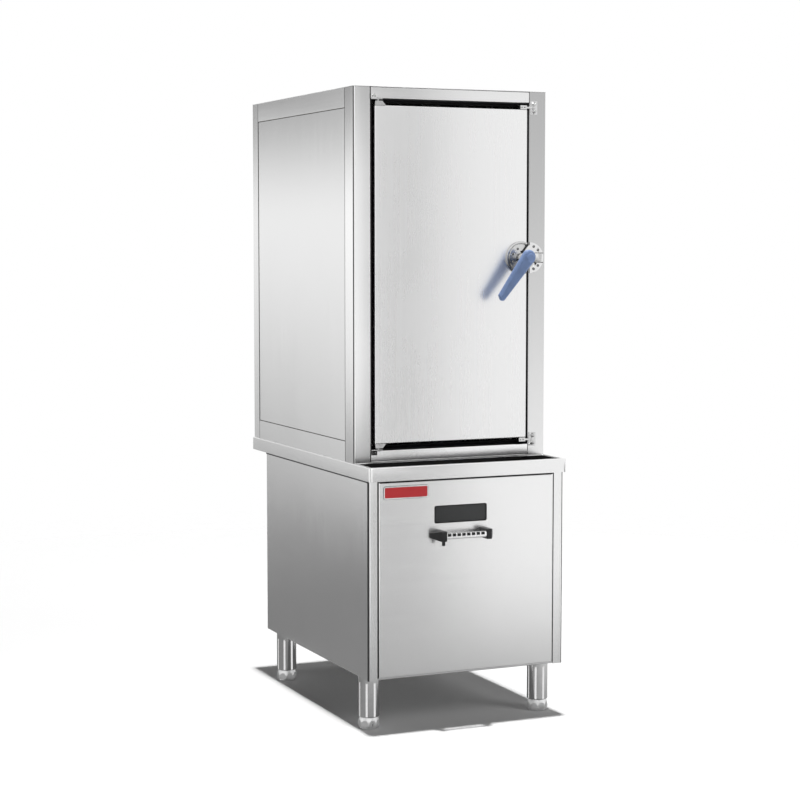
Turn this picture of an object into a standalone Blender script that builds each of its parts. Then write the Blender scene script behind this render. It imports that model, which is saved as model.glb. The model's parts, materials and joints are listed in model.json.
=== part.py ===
"""Steaming cabinet: an insulated steam chamber with one door, on a worktop and a base with a drawer.

Metres, +Z up. The front looks towards -Y, and the origin is at the middle of the foot of the bounding box.
Left and right are as seen from the front.
"""
import math

import bmesh
import bpy
from mathutils import Matrix, Vector

# Fits and sheet
SHEET = 0.0015              # folded stainless sheet
SEAT = 0.0003               # gap between pieces that touch
SEAM = 0.0015               # open joint line between outer panels
BEND_R = 0.003              # outer radius of a fold
EDGE_R = 0.001              # small rounded edge of a solid piece
RUN_FIT = 0.0003            # radial clearance of a shaft in its bore
OVERRUN = 0.004             # how far every cutter runs past what it cuts
WELD_DIST = 0.00001         # points closer than this are one

# Overall sizes
HEIGHT = 1.850
DECK_TOP = 0.770            # height of the worktop
BOX_W = 0.620
BOX_D = 0.850
DECK_SIDE = 0.006           # worktop past the steam box at each side
DECK_FRONT_REACH = 0.135    # worktop in front of the steam box
DECK_BACK_REACH = 0.005
DECK_APRON = 0.040
BODY_SIDE = 0.002           # base past the steam box at each side
BODY_SETBACK = 0.021        # base behind the worktop's front edge
BODY_RECESS = 0.120         # pipe space behind the base, under the steam box
BODY_FOOT = 0.155           # height of the base's underside

# Front frame and opening
POST_W = 0.055
POST_D = 0.060
REAR_POST_W = 0.050
RAIL_H = 0.034
RAIL_D = 0.060
RAIL_FOOT_D = 0.030         # bottom return of the lower rail
JAMB_D = 0.043
SIDE_RAIL_H = 0.058
PANEL_SUNK = 0.0008         # side and back panels behind the frame's face
ROOF_GAP = 0.0003

# Door
DOOR_GAP_SIDE = 0.010
DOOR_GAP_END = 0.020
DOOR_T = 0.040
DOOR_PROUD = 0.008
DOOR_CORNER_R = 0.0025
DOOR_SHEET_SUNK = 0.0005    # inner sheet inside the rim of the door skin

# Gasket
SKIRT_T = 0.0025
SKIRT_SUNK = 0.001          # skirt behind the frame's face
LIP_W = 0.010
LIP_T = 0.0075

# Door pivots
PIN_INSET = 0.012           # pin axis from the door's hinge edge
PIN_R = 0.004
PIVOT_T = 0.003             # bracket plate
PIVOT_RIGHT = 0.012         # bracket past the pin, away from the post
PIVOT_BACK = 0.026
PIVOT_EDGE_R = 0.0005       # rounded edge of thin plates
PIVOT_LIP_W = 0.018
PIVOT_LIP_H = 0.013
PIVOT_NOTCH = 0.0015        # clearance of the notch in the gasket
BLOCK_FOOT_W = 0.034
BLOCK_HEAD_W = 0.022
BLOCK_HEAD_INSET = 0.002
BLOCK_H = 0.0127
PIN_END_GAP = 0.0005

# Corner catches
CATCH_INSET = 0.001         # catch block from the door's free edge
CATCH_W = 0.022
CATCH_BACK = 0.012
TONGUE_REACH = 0.026
TONGUE_T = 0.004
TONGUE_H = 0.005
TONGUE_DROP = 0.004         # tongue below the head of its block
STUD_PLATE_W = 0.024
STUD_PLATE_H = 0.040
STUD_PLATE_T = 0.002
STUD_R = 0.0035
STUD_REACH = 0.010
STUD_SPACING = 0.0105       # from the tongue's middle to each stud

# Latch
LATCH_Z = 1.360
LATCH_INSET = 0.0205        # spindle axis from the door's free edge
LATCH_R = 0.049
LATCH_RIM_W = 0.006
LATCH_BEVEL_W = 0.002       # sloped outer edge of the rim
LATCH_RIM_T = 0.0065
LATCH_FACE_T = 0.0025
LATCH_TRIM = 0.0015         # plate cut back from the door's free edge
SPINDLE_R = 0.010
NECK_R = 0.013
NECK_FOOT = 0.008           # heights from the door's face outwards
NECK_TOP = 0.042
STUB_R = 0.008
STUB_TOP = 0.052
CAM_FOOT = 0.010
CAM_T = 0.004
CAM_W = 0.014
CAM_REACH = 0.046
LEVER_ANGLE = math.radians(37.5)   # rest angle of the lever from straight down
LEVER_LENGTH = 0.146
LEVER_BOSS_R = 0.0215
LEVER_BOSS_SIDE = 0.0045    # boss's middle beside the axis, on the thumb's side
LEVER_NECK_R = 0.0155       # collar under the boss
LEVER_TIP_R = 0.0095
LEVER_T = 0.016
LEVER_TOP = 0.068
LEVER_HOOK = 0.006
LEVER_HOOK_DROP = 0.0063    # foot of the nub below the tip's middle
LEVER_ROUND = 0.004
LEVER_CAP_R = 0.0135
LEVER_CAP_T = 0.0015
KEEPER_R = 0.046
KEEPER_INSET = 0.002        # keeper from the edge of the post
KEEPER_T = 0.004
BRIDGE_H = 0.027
BRIDGE_FOOT = 0.005
BRIDGE_T = 0.004
BRIDGE_CLEAR = 0.004        # between the cam and the bridge
BRIDGE_START = 0.004        # from the keeper's straight edge
BRIDGE_END = 0.026
BRIDGE_WALL = 0.006

# Chamber
BACK_WALL = 0.0527
LINER_HEAD = 0.010          # liner above the door opening, as deep as the lip
RUNG_COUNT = 5
RUNG_FIRST = 0.130          # first rung above the worktop
RUNG_LAST = 0.146           # last rung below the liner's top
RUNG_W = 0.020
RUNG_T = 0.003
UPRIGHT_W = 0.020
UPRIGHT_T = 0.004
UPRIGHT_HEAD = 0.030        # upright ends below the liner's top
UPRIGHT_FRONT = 0.095       # first upright behind the front frame's face
UPRIGHT_BACK = 0.080        # last upright before the liner's back
RUNG_FRONT = 0.065
RUNG_BACK = 0.045
SHELF_RUNGS_SHARE = (0.0, 0.5, 1.0)
SHELF_NAMES = ("lower", "middle", "upper")
SHELF_ROD_R = 0.003
SHELF_WIRE_R = 0.002
SHELF_WIRES = 9
SHELF_CORNER_R = 0.020
SHELF_SIDE_GAP = 0.0012
SHELF_FRONT = 0.075
SHELF_BACK = 0.055
RISER_R = 0.035
RISER_WALL = 0.002
RISER_COLLAR_R = 0.050
RISER_COLLAR_T = 0.003
RISER_TOP = 0.085           # riser above the worktop
RISER_CAP_R = 0.052
RISER_CAP_T = 0.010
RISER_CAP_SLOPE = 0.006
RISER_SLOT_W = 0.022
RISER_SLOT_H = 0.030
RISER_SLOT_DROP = 0.014
RISER_SLOTS = 3
RISER_Y = 0.380             # riser behind the front frame's face

# Worktop
DECK_CORNER_R = 0.010
DECK_EDGE_R = 0.003
RIM_W = 0.012
RIM_H = 0.003
RIM_BACK_GAP = 0.002        # sunk field stops this far from the steam box

# Base
RETURN_W = 0.028
BASE_FLANGE = 0.030
LOUVRE_COUNT = 8
LOUVRE_W = 0.160
LOUVRE_H = 0.006
LOUVRE_STEP = 0.020
LOUVRE_Z = 0.300
LOUVRE_X = -0.120
GLAND_X = 0.205
GLAND_Z = 0.235
GLAND_R = 0.016
GLAND_HEX_T = 0.013
GLAND_DOME_R = 0.0128
GLAND_TIP_R = 0.0117
GLAND_REACH = 0.026
GLAND_BORE = 0.009
LEG_R = 0.031
LEG_WALL = 0.002
LEG_INSET_X = 0.034
LEG_INSET_FRONT = 0.083
LEG_INSET_BACK = 0.081
LEG_PLUG = 0.012
LEG_CHAMFER = 0.003
FOOT_H = 0.033
FOOT_BASE_H = 0.006
FOOT_BASE_R = 0.027
FOOT_SIDES = 8
FOOT_FLAT_H = 0.016
FOOT_NECK_R = 0.027
STEM_R = 0.010
STEM_LENGTH = 0.070

# Drawer
DRAWER_GAP_SIDE = 0.004
DRAWER_GAP_END = 0.006
DRAWER_PROUD = 0.002
DRAWER_T = 0.020
SLIDE_SPACE = 0.0422        # from the base's side to the tray
TRAY_D = 0.560
TRAY_H = 0.120
TRAY_Z = 0.190
SLIDE_Z = 0.250
SLIDE_H = 0.048
SLIDE_L = 0.540
RUNNER_T = 0.012
RUNNER_L = 0.500
MODULE_SIDE = 0.088         # module from the tray's side
MODULE_D = 0.420
MODULE_H = 0.150
MODULE_FRONT = 0.055        # module behind the tray's front wall
MODULE_EDGE_R = 0.002
MODULE_WALL = 0.004
FIN_COUNT = 12
FIN_H = 0.045
FIN_T = 0.003
FAN_R = 0.045
FAN_DEPTH = 0.022
FAN_HUB_R = 0.015
FRONT_UNIT_X = -0.022       # window and handle from the middle of the front
WINDOW_W = 0.163
WINDOW_H = 0.047
WINDOW_Z = 0.624
WINDOW_T = 0.004
WINDOW_FLANGE = 0.008
WINDOW_SUNK = 0.0005
HANDLE_Z = 0.565
HANDLE_LENGTH = 0.202
HANDLE_REACH = 0.045
CAP_W = 0.038
CAP_H = 0.030
CAP_TOP_W = 0.016
CAP_POCKET = 0.010
CAP_HEEL = 0.005            # slope at the foot of the cap's outer end
CAP_HEEL_REACH = 0.015
CAP_END_H = 0.010           # height of the cap's outer end
HANDLE_EDGE_R = 0.003
BAR_H = 0.018
BAR_T = 0.011
BAR_BACK = 0.031            # back of the bar from the drawer's face
PEG_R = 0.005
PEG_DROP = 0.012
PEG_INSET = 0.010           # peg's axis behind the handle's front

# Boiler and coil
TANK_SIDE = 0.082           # tank from the base's outer side
TANK_D = 0.560
TANK_H = 0.220
TANK_T = 0.002
TANK_FRONT = 0.150          # tank behind the base's front
TANK_DROP = 0.070           # tank top below the worktop
HANGER_W = 0.030
HANGER_INSET = 0.030
INLET_R = 0.011
INLET_X = -0.150
INLET_DROP = 0.060
DRAIN_R = 0.017
DRAIN_X = 0.150
DRAIN_RISE = 0.030
PORT_REACH = 0.030          # port past the base's back sheet
PORT_WALL = 0.002
PORT_FIT = 0.001
COIL_R = 0.190
COIL_INNER_R = 0.050
COIL_T = 0.022
COIL_TURNS = 6
COIL_GROOVE = 0.004

# Places worked out from the sizes above
HALF_W = BOX_W / 2
DRAWER_FACE_FROM_BOX = DECK_FRONT_REACH - BODY_SETBACK + DRAWER_PROUD
FRONT_REACH = DRAWER_FACE_FROM_BOX + HANDLE_REACH
BOX_FRONT = (FRONT_REACH - BOX_D - DECK_BACK_REACH) / 2
BOX_BACK = BOX_FRONT + BOX_D
DECK_FRONT = BOX_FRONT - DECK_FRONT_REACH
DECK_BACK = BOX_BACK + DECK_BACK_REACH
DECK_HALF = HALF_W + DECK_SIDE
BODY_HALF = HALF_W + BODY_SIDE
BODY_FRONT = DECK_FRONT + BODY_SETBACK
BODY_BACK = BOX_BACK - BODY_RECESS
DECK_UNDER = DECK_TOP - SHEET - SEAT
BODY_HEAD = DECK_UNDER - RIM_H
DRAWER_FACE = BODY_FRONT - DRAWER_PROUD
BOX_FOOT = DECK_TOP + SEAT
BOX_HEAD = HEIGHT - SHEET - ROOF_GAP
OPEN_HALF = HALF_W - POST_W
OPEN_FOOT = DECK_TOP + RAIL_H
OPEN_HEAD = HEIGHT - RAIL_H
DOOR_HALF = OPEN_HALF - DOOR_GAP_SIDE
DOOR_FOOT = OPEN_FOOT + DOOR_GAP_END
DOOR_HEAD = OPEN_HEAD - DOOR_GAP_END
DOOR_FACE = BOX_FRONT - DOOR_PROUD
DOOR_BACK = DOOR_FACE + DOOR_T
PIN_X = -DOOR_HALF + PIN_INSET
LATCH_X = DOOR_HALF - LATCH_INSET
JAMB_BACK = BOX_FRONT + JAMB_D
LINER_FRONT = JAMB_BACK + SEAT
LINER_HALF = OPEN_HALF - LIP_W
LINER_BACK = BOX_BACK - BACK_WALL - SHEET
LINER_TOP = OPEN_HEAD - LINER_HEAD
PAN_TOP = BOX_FOOT + SHEET
LINER_FOOT = PAN_TOP + SEAT
PANEL_FRONT = BOX_FRONT + POST_D + SEAM
PANEL_BACK = BOX_BACK - REAR_POST_W - SEAM
SIDE_FOOT = DECK_TOP + SIDE_RAIL_H
SIDE_HEAD = HEIGHT - SIDE_RAIL_H
RISER_PLACE = (0.0, BOX_FRONT + RISER_Y)
TANK_HEAD = DECK_TOP - TANK_DROP
TANK_FOOT = TANK_HEAD - TANK_H
TANK_HALF = BODY_HALF - TANK_SIDE
TANK_Y = (BODY_FRONT + TANK_FRONT, BODY_FRONT + TANK_FRONT + TANK_D)
DRAWER_HALF = BODY_HALF - RETURN_W - DRAWER_GAP_SIDE
DRAWER_FOOT = BODY_FOOT + DRAWER_GAP_END
DRAWER_HEAD = DECK_TOP - DECK_APRON - DRAWER_GAP_END
DRAWER_BACK = DRAWER_FACE + DRAWER_T
TRAY_FRONT = DRAWER_BACK + SEAT
TRAY_HALF = BODY_HALF - SHEET - SEAT - SLIDE_SPACE
MODULE_HALF = TRAY_HALF - MODULE_SIDE
LEG_X = HALF_W - LEG_INSET_X
LEG_Y = (BODY_FRONT + LEG_INSET_FRONT, BODY_BACK - LEG_INSET_BACK)
WINDOW_X = (FRONT_UNIT_X - WINDOW_W / 2, FRONT_UNIT_X + WINDOW_W / 2)

AXES = {"X": Vector((1, 0, 0)), "Y": Vector((0, 1, 0)), "Z": Vector((0, 0, 1))}
# Turns a shape drawn in the XY plane to stand in the XZ plane, its thickness towards the front
TO_FRONT = Matrix.Rotation(math.radians(90), 4, "X")


def clear_scene():
    """Removes what the scene holds and makes the two collections."""
    for obj in list(bpy.data.objects):
        bpy.data.objects.remove(obj, do_unlink=True)
    groups = {}
    for name in ("steaming_cabinet", "cutters"):
        group = bpy.data.collections.new(name)
        bpy.context.scene.collection.children.link(group)
        groups[name] = group
    return groups["steaming_cabinet"], groups["cutters"]


PARTS, CUTTERS = clear_scene()


def material(name, colour, roughness, metallic):
    """A Principled material."""
    made = bpy.data.materials.new(name)
    made.use_nodes = True
    shader = made.node_tree.nodes["Principled BSDF"]
    shader.inputs["Base Color"].default_value = (*colour, 1.0)
    shader.inputs["Roughness"].default_value = roughness
    shader.inputs["Metallic"].default_value = metallic
    made.diffuse_color = (*colour, 1.0)
    return made


FINISHES = {
    "satin": ((0.72, 0.72, 0.71), 0.34, 1.0),
    "polished": ((0.80, 0.80, 0.80), 0.14, 1.0),
    "chrome": ((0.88, 0.88, 0.89), 0.06, 1.0),
    "rubber": ((0.015, 0.015, 0.016), 0.75, 0.0),
    "black": ((0.025, 0.025, 0.027), 0.42, 0.0),
    "blue": ((0.105, 0.165, 0.330), 0.38, 0.0),
    "window": ((0.035, 0.037, 0.038), 0.12, 0.0),
    "wool": ((0.62, 0.56, 0.40), 0.90, 0.0),
    "cast": ((0.50, 0.51, 0.52), 0.45, 1.0),
    "copper": ((0.62, 0.30, 0.16), 0.40, 1.0),
}


def finish(obj, kind):
    """Gives a piece its own material of one kind of finish and puts it among the parts."""
    obj.data.materials.clear()
    obj.data.materials.append(material(obj.name, *FINISHES[kind]))
    for group in list(obj.users_collection):
        group.objects.unlink(obj)
    PARTS.objects.link(obj)
    return obj


def helper(obj):
    """Marks an object as a cutter or as a shape that another one takes in."""
    obj.hide_render = True
    obj.display_type = "WIRE"
    return obj


def from_bmesh(name, bm):
    """A new object with the mesh, kept among the cutters until it gets a finish."""
    mesh = bpy.data.meshes.new(name)
    bm.to_mesh(mesh)
    bm.free()
    obj = bpy.data.objects.new(name, mesh)
    CUTTERS.objects.link(obj)
    return obj


def round_edges(obj, width, segments=2, angle=40):
    """A live Bevel on the sharp edges."""
    bevel = obj.modifiers.new("rounding", "BEVEL")
    bevel.width = width
    bevel.segments = segments
    bevel.limit_method = "ANGLE"
    bevel.angle_limit = math.radians(angle)
    return obj


def block(name, x, y, z, rounding=0.0):
    """A box between two limits on each axis."""
    bm = bmesh.new()
    bmesh.ops.create_cube(bm, size=1.0)
    spans = [high - low for low, high in (x, y, z)]
    bmesh.ops.scale(bm, vec=spans, verts=bm.verts)
    bmesh.ops.translate(bm, vec=[(low + high) / 2 for low, high in (x, y, z)], verts=bm.verts)
    obj = from_bmesh(name, bm)
    if rounding:
        round_edges(obj, rounding)
    return obj


def rounded_corners(obj, radius, segments=4):
    """Rounds the upright edges of a block."""
    bm = bmesh.new()
    bm.from_mesh(obj.data)
    upright = [edge for edge in bm.edges if edge.verts[0].co.xy == edge.verts[1].co.xy]
    bmesh.ops.bevel(bm, geom=upright, offset=radius, segments=segments, profile=1 / 2, affect="EDGES")
    bm.to_mesh(obj.data)
    bm.free()
    return obj


def rod(name, radius, start, end, sides=24, end_radius=None):
    """A cylinder or cone between two points."""
    start, end = Vector(start), Vector(end)
    bm = bmesh.new()
    bmesh.ops.create_cone(bm, cap_ends=True, segments=sides, radius1=radius,
                          radius2=radius if end_radius is None else end_radius, depth=(end - start).length)
    turn = AXES["Z"].rotation_difference(end - start).to_matrix().to_4x4()
    bmesh.ops.transform(bm, matrix=Matrix.Translation((start + end) / 2) @ turn, verts=bm.verts)
    return from_bmesh(name, bm)


def turned(name, profile, place=(0, 0, 0), turn=None, steps=32):
    """A turned piece: its profile of (radius, height) runs down the outer side, top to bottom."""
    bm = bmesh.new()
    verts = [bm.verts.new((radius, 0, height)) for radius, height in profile]
    for first, second in zip(verts, verts[1:]):
        bm.edges.new((first, second))
    if profile[0][0] or profile[-1][0]:
        bm.edges.new((verts[-1], verts[0]))
    obj = from_bmesh(name, bm)
    obj.matrix_world = Matrix.Translation(place) @ (turn or Matrix.Identity(4))
    screw = obj.modifiers.new("turning", "SCREW")
    screw.steps = screw.render_steps = steps
    screw.use_merge_vertices = True
    screw.merge_threshold = WELD_DIST
    screw.use_smooth_shade = False
    return obj


def mesh_from_curve(curve_object):
    """The closed mesh that a curve object shows, as an object of the same name and place."""
    bpy.context.view_layer.update()
    graph = bpy.context.evaluated_depsgraph_get()
    mesh = bpy.data.meshes.new_from_object(curve_object.evaluated_get(graph))
    bm = bmesh.new()
    bm.from_mesh(mesh)
    bmesh.ops.remove_doubles(bm, verts=bm.verts, dist=WELD_DIST)
    bmesh.ops.recalc_face_normals(bm, faces=bm.faces)
    bm.to_mesh(mesh)
    bm.free()
    name, place = curve_object.name, curve_object.matrix_world.copy()
    curve = curve_object.data
    bpy.data.objects.remove(curve_object, do_unlink=True)
    bpy.data.curves.remove(curve)
    made = bpy.data.objects.new(name, mesh)
    made.matrix_world = place
    CUTTERS.objects.link(made)
    return made


def plate(name, outline, thickness, place=(0, 0, 0), turn=None):
    """A flat piece from its outline in the XY plane, its thickness along Z from the plane upwards."""
    curve = bpy.data.curves.new(name, "CURVE")
    curve.dimensions = "2D"
    curve.fill_mode = "BOTH"
    curve.extrude = thickness / 2
    spline = curve.splines.new("POLY")
    spline.points.add(len(outline) - 1)
    for point, (u, v) in zip(spline.points, outline):
        point.co = (u, v, 0, 1)
    spline.use_cyclic_u = True
    obj = bpy.data.objects.new(name, curve)
    lift = Matrix.Translation((0, 0, thickness / 2))
    obj.matrix_world = Matrix.Translation(place) @ (turn or Matrix.Identity(4)) @ lift
    CUTTERS.objects.link(obj)
    return mesh_from_curve(obj)


def wire_loop(name, radius, points):
    """A closed loop of round rod through the points."""
    curve = bpy.data.curves.new(name, "CURVE")
    curve.dimensions = "3D"
    curve.bevel_depth = radius
    curve.bevel_resolution = 1
    spline = curve.splines.new("POLY")
    spline.points.add(len(points) - 1)
    for point, place in zip(spline.points, points):
        point.co = (*place, 1)
    spline.use_cyclic_u = True
    obj = bpy.data.objects.new(name, curve)
    CUTTERS.objects.link(obj)
    return mesh_from_curve(obj)


def folded(name, line, axis, start, end):
    """A sheet folded along a line of points, its outer side on the right of the line as it runs.

    The line lies square to the axis, in (x, y) for Z, in (y, z) for X and in (z, x) for Y.
    """
    order = {"Z": (0, 1, 2), "X": (1, 2, 0), "Y": (2, 0, 1)}[axis]

    def point(u, v, w):
        place = [0, 0, 0]
        for index, value in zip(order, (u, v, w)):
            place[index] = value
        return Vector(place)

    bm = bmesh.new()
    verts = [bm.verts.new(point(u, v, start)) for u, v in line]
    edges = [bm.edges.new(pair) for pair in zip(verts, verts[1:])]
    made = bmesh.ops.extrude_edge_only(bm, edges=edges)["geom"]
    moved = [item for item in made if isinstance(item, bmesh.types.BMVert)]
    bmesh.ops.translate(bm, vec=AXES[axis] * (end - start), verts=moved)
    bm.normal_update()
    run = (line[1][0] - line[0][0], line[1][1] - line[0][1])
    outward = point(run[1], -run[0], 0)
    bm.faces.ensure_lookup_table()
    edge_face = next(face for face in bm.faces if verts[0] in face.verts and verts[1] in face.verts)
    if edge_face.normal.dot(outward) < 0:
        bmesh.ops.reverse_faces(bm, faces=bm.faces)
    obj = from_bmesh(name, bm)
    round_edges(obj, BEND_R)
    shell = obj.modifiers.new("sheet", "SOLIDIFY")
    shell.thickness = SHEET
    shell.offset = -1
    shell.use_even_offset = True
    return obj


def combine(obj, operation, others):
    """Boolean modifiers with each of the other objects in turn."""
    for other in others:
        modifier = obj.modifiers.new(other.name, "BOOLEAN")
        modifier.operation = operation
        modifier.object = helper(other)
    return obj


def cut(obj, *others):
    return combine(obj, "DIFFERENCE", others)


def join(obj, *others):
    return combine(obj, "UNION", others)


def trim(obj, *others):
    return combine(obj, "INTERSECT", others)


def grown(low, high, by):
    """A span made longer at both ends."""
    return (low - by, high + by)


def arc(centre, radius, start, end, steps):
    """Points along an arc, its angles in degrees."""
    x, y = centre
    angles = [math.radians(start + (end - start) * step / steps) for step in range(steps + 1)]
    return [(x + radius * math.cos(angle), y + radius * math.sin(angle)) for angle in angles]


def mirrored(line):
    """A folded line at the other side of the middle plane, its outer side kept."""
    return [(-x, y) for x, y in reversed(line)]


# Steam box


def front_posts():
    line = [(-HALF_W, BOX_FRONT + POST_D), (-HALF_W, BOX_FRONT), (-OPEN_HALF, BOX_FRONT),
            (-OPEN_HALF, JAMB_BACK)]
    finish(folded("front_post_left", line, "Z", BOX_FOOT, BOX_HEAD), "satin")
    finish(folded("front_post_right", mirrored(line), "Z", BOX_FOOT, BOX_HEAD), "satin")


def front_rails():
    ends = (-OPEN_HALF + SEAT, OPEN_HALF - SEAT)
    top = [(BOX_FRONT + RAIL_D, BOX_HEAD), (BOX_FRONT, BOX_HEAD), (BOX_FRONT, OPEN_HEAD),
           (JAMB_BACK, OPEN_HEAD)]
    foot = [(JAMB_BACK, OPEN_FOOT), (BOX_FRONT, OPEN_FOOT), (BOX_FRONT, BOX_FOOT),
            (BOX_FRONT + RAIL_FOOT_D, BOX_FOOT)]
    finish(folded("front_rail_top", top, "X", *ends), "satin")
    finish(folded("front_rail_bottom", foot, "X", *ends), "satin")


def rear_posts():
    line = [(-HALF_W + REAR_POST_W, BOX_BACK), (-HALF_W, BOX_BACK), (-HALF_W, BOX_BACK - REAR_POST_W)]
    finish(folded("rear_post_left", line, "Z", BOX_FOOT, BOX_HEAD), "satin")
    finish(folded("rear_post_right", mirrored(line), "Z", BOX_FOOT, BOX_HEAD), "satin")


def side_panels():
    outer = HALF_W - PANEL_SUNK
    height = (SIDE_FOOT + SEAM, SIDE_HEAD - SEAM)
    for side, name in ((-1, "side_panel_left"), (1, "side_panel_right")):
        span = sorted((side * outer, side * (outer - SHEET)))
        finish(block(name, span, (PANEL_FRONT, PANEL_BACK), height), "satin")


def back_panel():
    half = HALF_W - REAR_POST_W - SEAM
    outer = BOX_BACK - PANEL_SUNK
    panel = block("back_panel", (-half, half), (outer - SHEET, outer), (PAN_TOP + SEAT, BOX_HEAD))
    finish(panel, "satin")


def roof_cap():
    top = block("roof_cap", (-HALF_W, HALF_W), (BOX_FRONT, BOX_BACK), (HEIGHT - SHEET, HEIGHT))
    for side in (-1, 1):
        span = sorted((side * HALF_W, side * (HALF_W - SHEET)))
        height = (SIDE_HEAD, HEIGHT - SHEET / 2)
        join(top, block(f"roof_flange_{side}", span, (PANEL_FRONT, PANEL_BACK), height))
    finish(top, "satin")


def floor_pan():
    """The chamber's floor, folded up outside at the sides and inside behind the lower rail."""
    pan = block("floor_pan", (-HALF_W, HALF_W), (LINER_FRONT, BOX_BACK - SHEET - SEAT), (BOX_FOOT, PAN_TOP))
    for side in (-1, 1):
        span = sorted((side * HALF_W, side * (HALF_W - SHEET)))
        join(pan, block(f"pan_flange_{side}", span, (PANEL_FRONT, PANEL_BACK), (BOX_FOOT, SIDE_FOOT)))
        for place, run in (("front", (BOX_FRONT, PANEL_FRONT)), ("back", (PANEL_BACK, BOX_BACK))):
            width = POST_W + SEAT if place == "front" else REAR_POST_W + SEAT
            corner = sorted((side * (HALF_W + OVERRUN), side * (HALF_W - width)))
            reach = (run[0] - OVERRUN, run[1]) if place == "front" else (run[0], run[1] + OVERRUN)
            height = grown(BOX_FOOT, SIDE_FOOT, OVERRUN)
            cut(pan, block(f"pan_corner_{place}_{side}", corner, reach, height))
    lip = block("pan_lip", (-LINER_HALF, LINER_HALF), (LINER_FRONT, LINER_FRONT + SHEET),
                (BOX_FOOT, OPEN_FOOT + LIP_W))
    join(pan, lip)
    cut(pan, riser_hole("pan_hole", BOX_FOOT, PAN_TOP))
    finish(pan, "satin")


def riser_hole(name, low, high):
    """The round hole that the steam riser passes through."""
    place = Vector((*RISER_PLACE, 0))
    span = grown(low, high, OVERRUN)
    return rod(name, RISER_R + RUN_FIT, place + AXES["Z"] * span[0], place + AXES["Z"] * span[1], sides=32)


def chamber_liner():
    outer = LINER_HALF + SHEET
    height = (LINER_FOOT, LINER_TOP)
    front = LINER_FRONT + SHEET + SEAT
    for side, name in ((-1, "liner_left"), (1, "liner_right")):
        span = sorted((side * outer, side * LINER_HALF))
        sheet = block(name, span, (LINER_FRONT, LINER_BACK - SEAT), height)
        foot = sorted((side * (outer + OVERRUN), side * (LINER_HALF - OVERRUN)))
        cut(sheet, block(f"{name}_notch", foot, (LINER_FRONT - OVERRUN, front),
                         (LINER_FOOT - OVERRUN, OPEN_FOOT + LIP_W + SEAT)))
        finish(sheet, "polished")
    finish(block("liner_back", (-outer, outer), (LINER_BACK, LINER_BACK + SHEET), height), "polished")
    finish(block("liner_top", (-outer, outer), (LINER_FRONT, LINER_BACK + SHEET),
                 (LINER_TOP + SEAT, LINER_TOP + SEAT + SHEET)), "polished")


def wall_insulation():
    """One block of stone wool round the liner: both sides, the back and the top."""
    outer = HALF_W - PANEL_SUNK - SHEET - SEAT
    inner = LINER_HALF + SHEET + SEAT
    back = BOX_BACK - PANEL_SUNK - SHEET - SEAT
    top = BOX_HEAD - SHEET - SEAT
    liner_top = LINER_TOP + SHEET + SEAT * 2
    wool = block("wall_insulation", (-outer, outer), (JAMB_BACK + SEAT, back), (LINER_FOOT, top))
    cut(wool, block("insulation_hollow", (-inner, inner), (JAMB_BACK - OVERRUN, LINER_BACK + SHEET + SEAT),
                    (LINER_FOOT - OVERRUN, liner_top)))
    finish(wool, "wool")


def shelf_ladders():
    wall = LINER_HALF - SEAT
    face = wall - UPRIGHT_T
    runs = (BOX_FRONT + UPRIGHT_FRONT, LINER_BACK - UPRIGHT_BACK)
    for side, name in ((-1, "shelf_ladder_left"), (1, "shelf_ladder_right")):
        span = sorted((side * wall, side * face))
        height = (LINER_FOOT, LINER_TOP - UPRIGHT_HEAD)
        first = block(name, span, (runs[0], runs[0] + UPRIGHT_W), height)
        second = block(f"{name}_upright", span, (runs[1] - UPRIGHT_W, runs[1]), height)
        reach = sorted((side * (wall - UPRIGHT_T / 2), side * (face - RUNG_W)))
        depth = (BOX_FRONT + RUNG_FRONT, LINER_BACK - RUNG_BACK)
        rungs = []
        for index in range(RUNG_COUNT):
            level = rung_level(index)
            rungs.append(block(f"{name}_rung_{index}", reach, depth, (level - RUNG_T, level)))
        finish(join(first, *rungs, second), "satin")


def rung_level(index):
    first, last = DECK_TOP + RUNG_FIRST, LINER_TOP - RUNG_LAST
    return first + (last - first) * index / (RUNG_COUNT - 1)


def shelves():
    """Wire racks: a loop of rod with cross wires welded in."""
    half = LINER_HALF - SEAT - UPRIGHT_T - SHELF_SIDE_GAP - SHELF_ROD_R
    front = BOX_FRONT + SHELF_FRONT + SHELF_ROD_R
    back = LINER_BACK - SHELF_BACK - SHELF_ROD_R
    for share, label in zip(SHELF_RUNGS_SHARE, SHELF_NAMES):
        level = rung_level(round(share * (RUNG_COUNT - 1))) + SEAT + SHELF_ROD_R
        right, rear, fore = half - SHELF_CORNER_R, back - SHELF_CORNER_R, front + SHELF_CORNER_R
        corners = ((right, rear, 0), (-right, rear, 90), (-right, fore, 180), (right, fore, 270))
        points = []
        for x, y, start in corners:
            points += [(u, v, level) for u, v in arc((x, y), SHELF_CORNER_R, start, start + 90, 3)]
        rack = wire_loop(f"shelf_{label}", SHELF_ROD_R, points)
        pitch = (back - front) / (SHELF_WIRES + 1)
        for index in range(SHELF_WIRES):
            y = front + pitch * (index + 1)
            ends = ((-half, y, level), (half, y, level))
            join(rack, rod(f"shelf_{label}_wire_{index}", SHELF_WIRE_R, *ends, sides=6))
        finish(rack, "polished")


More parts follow.
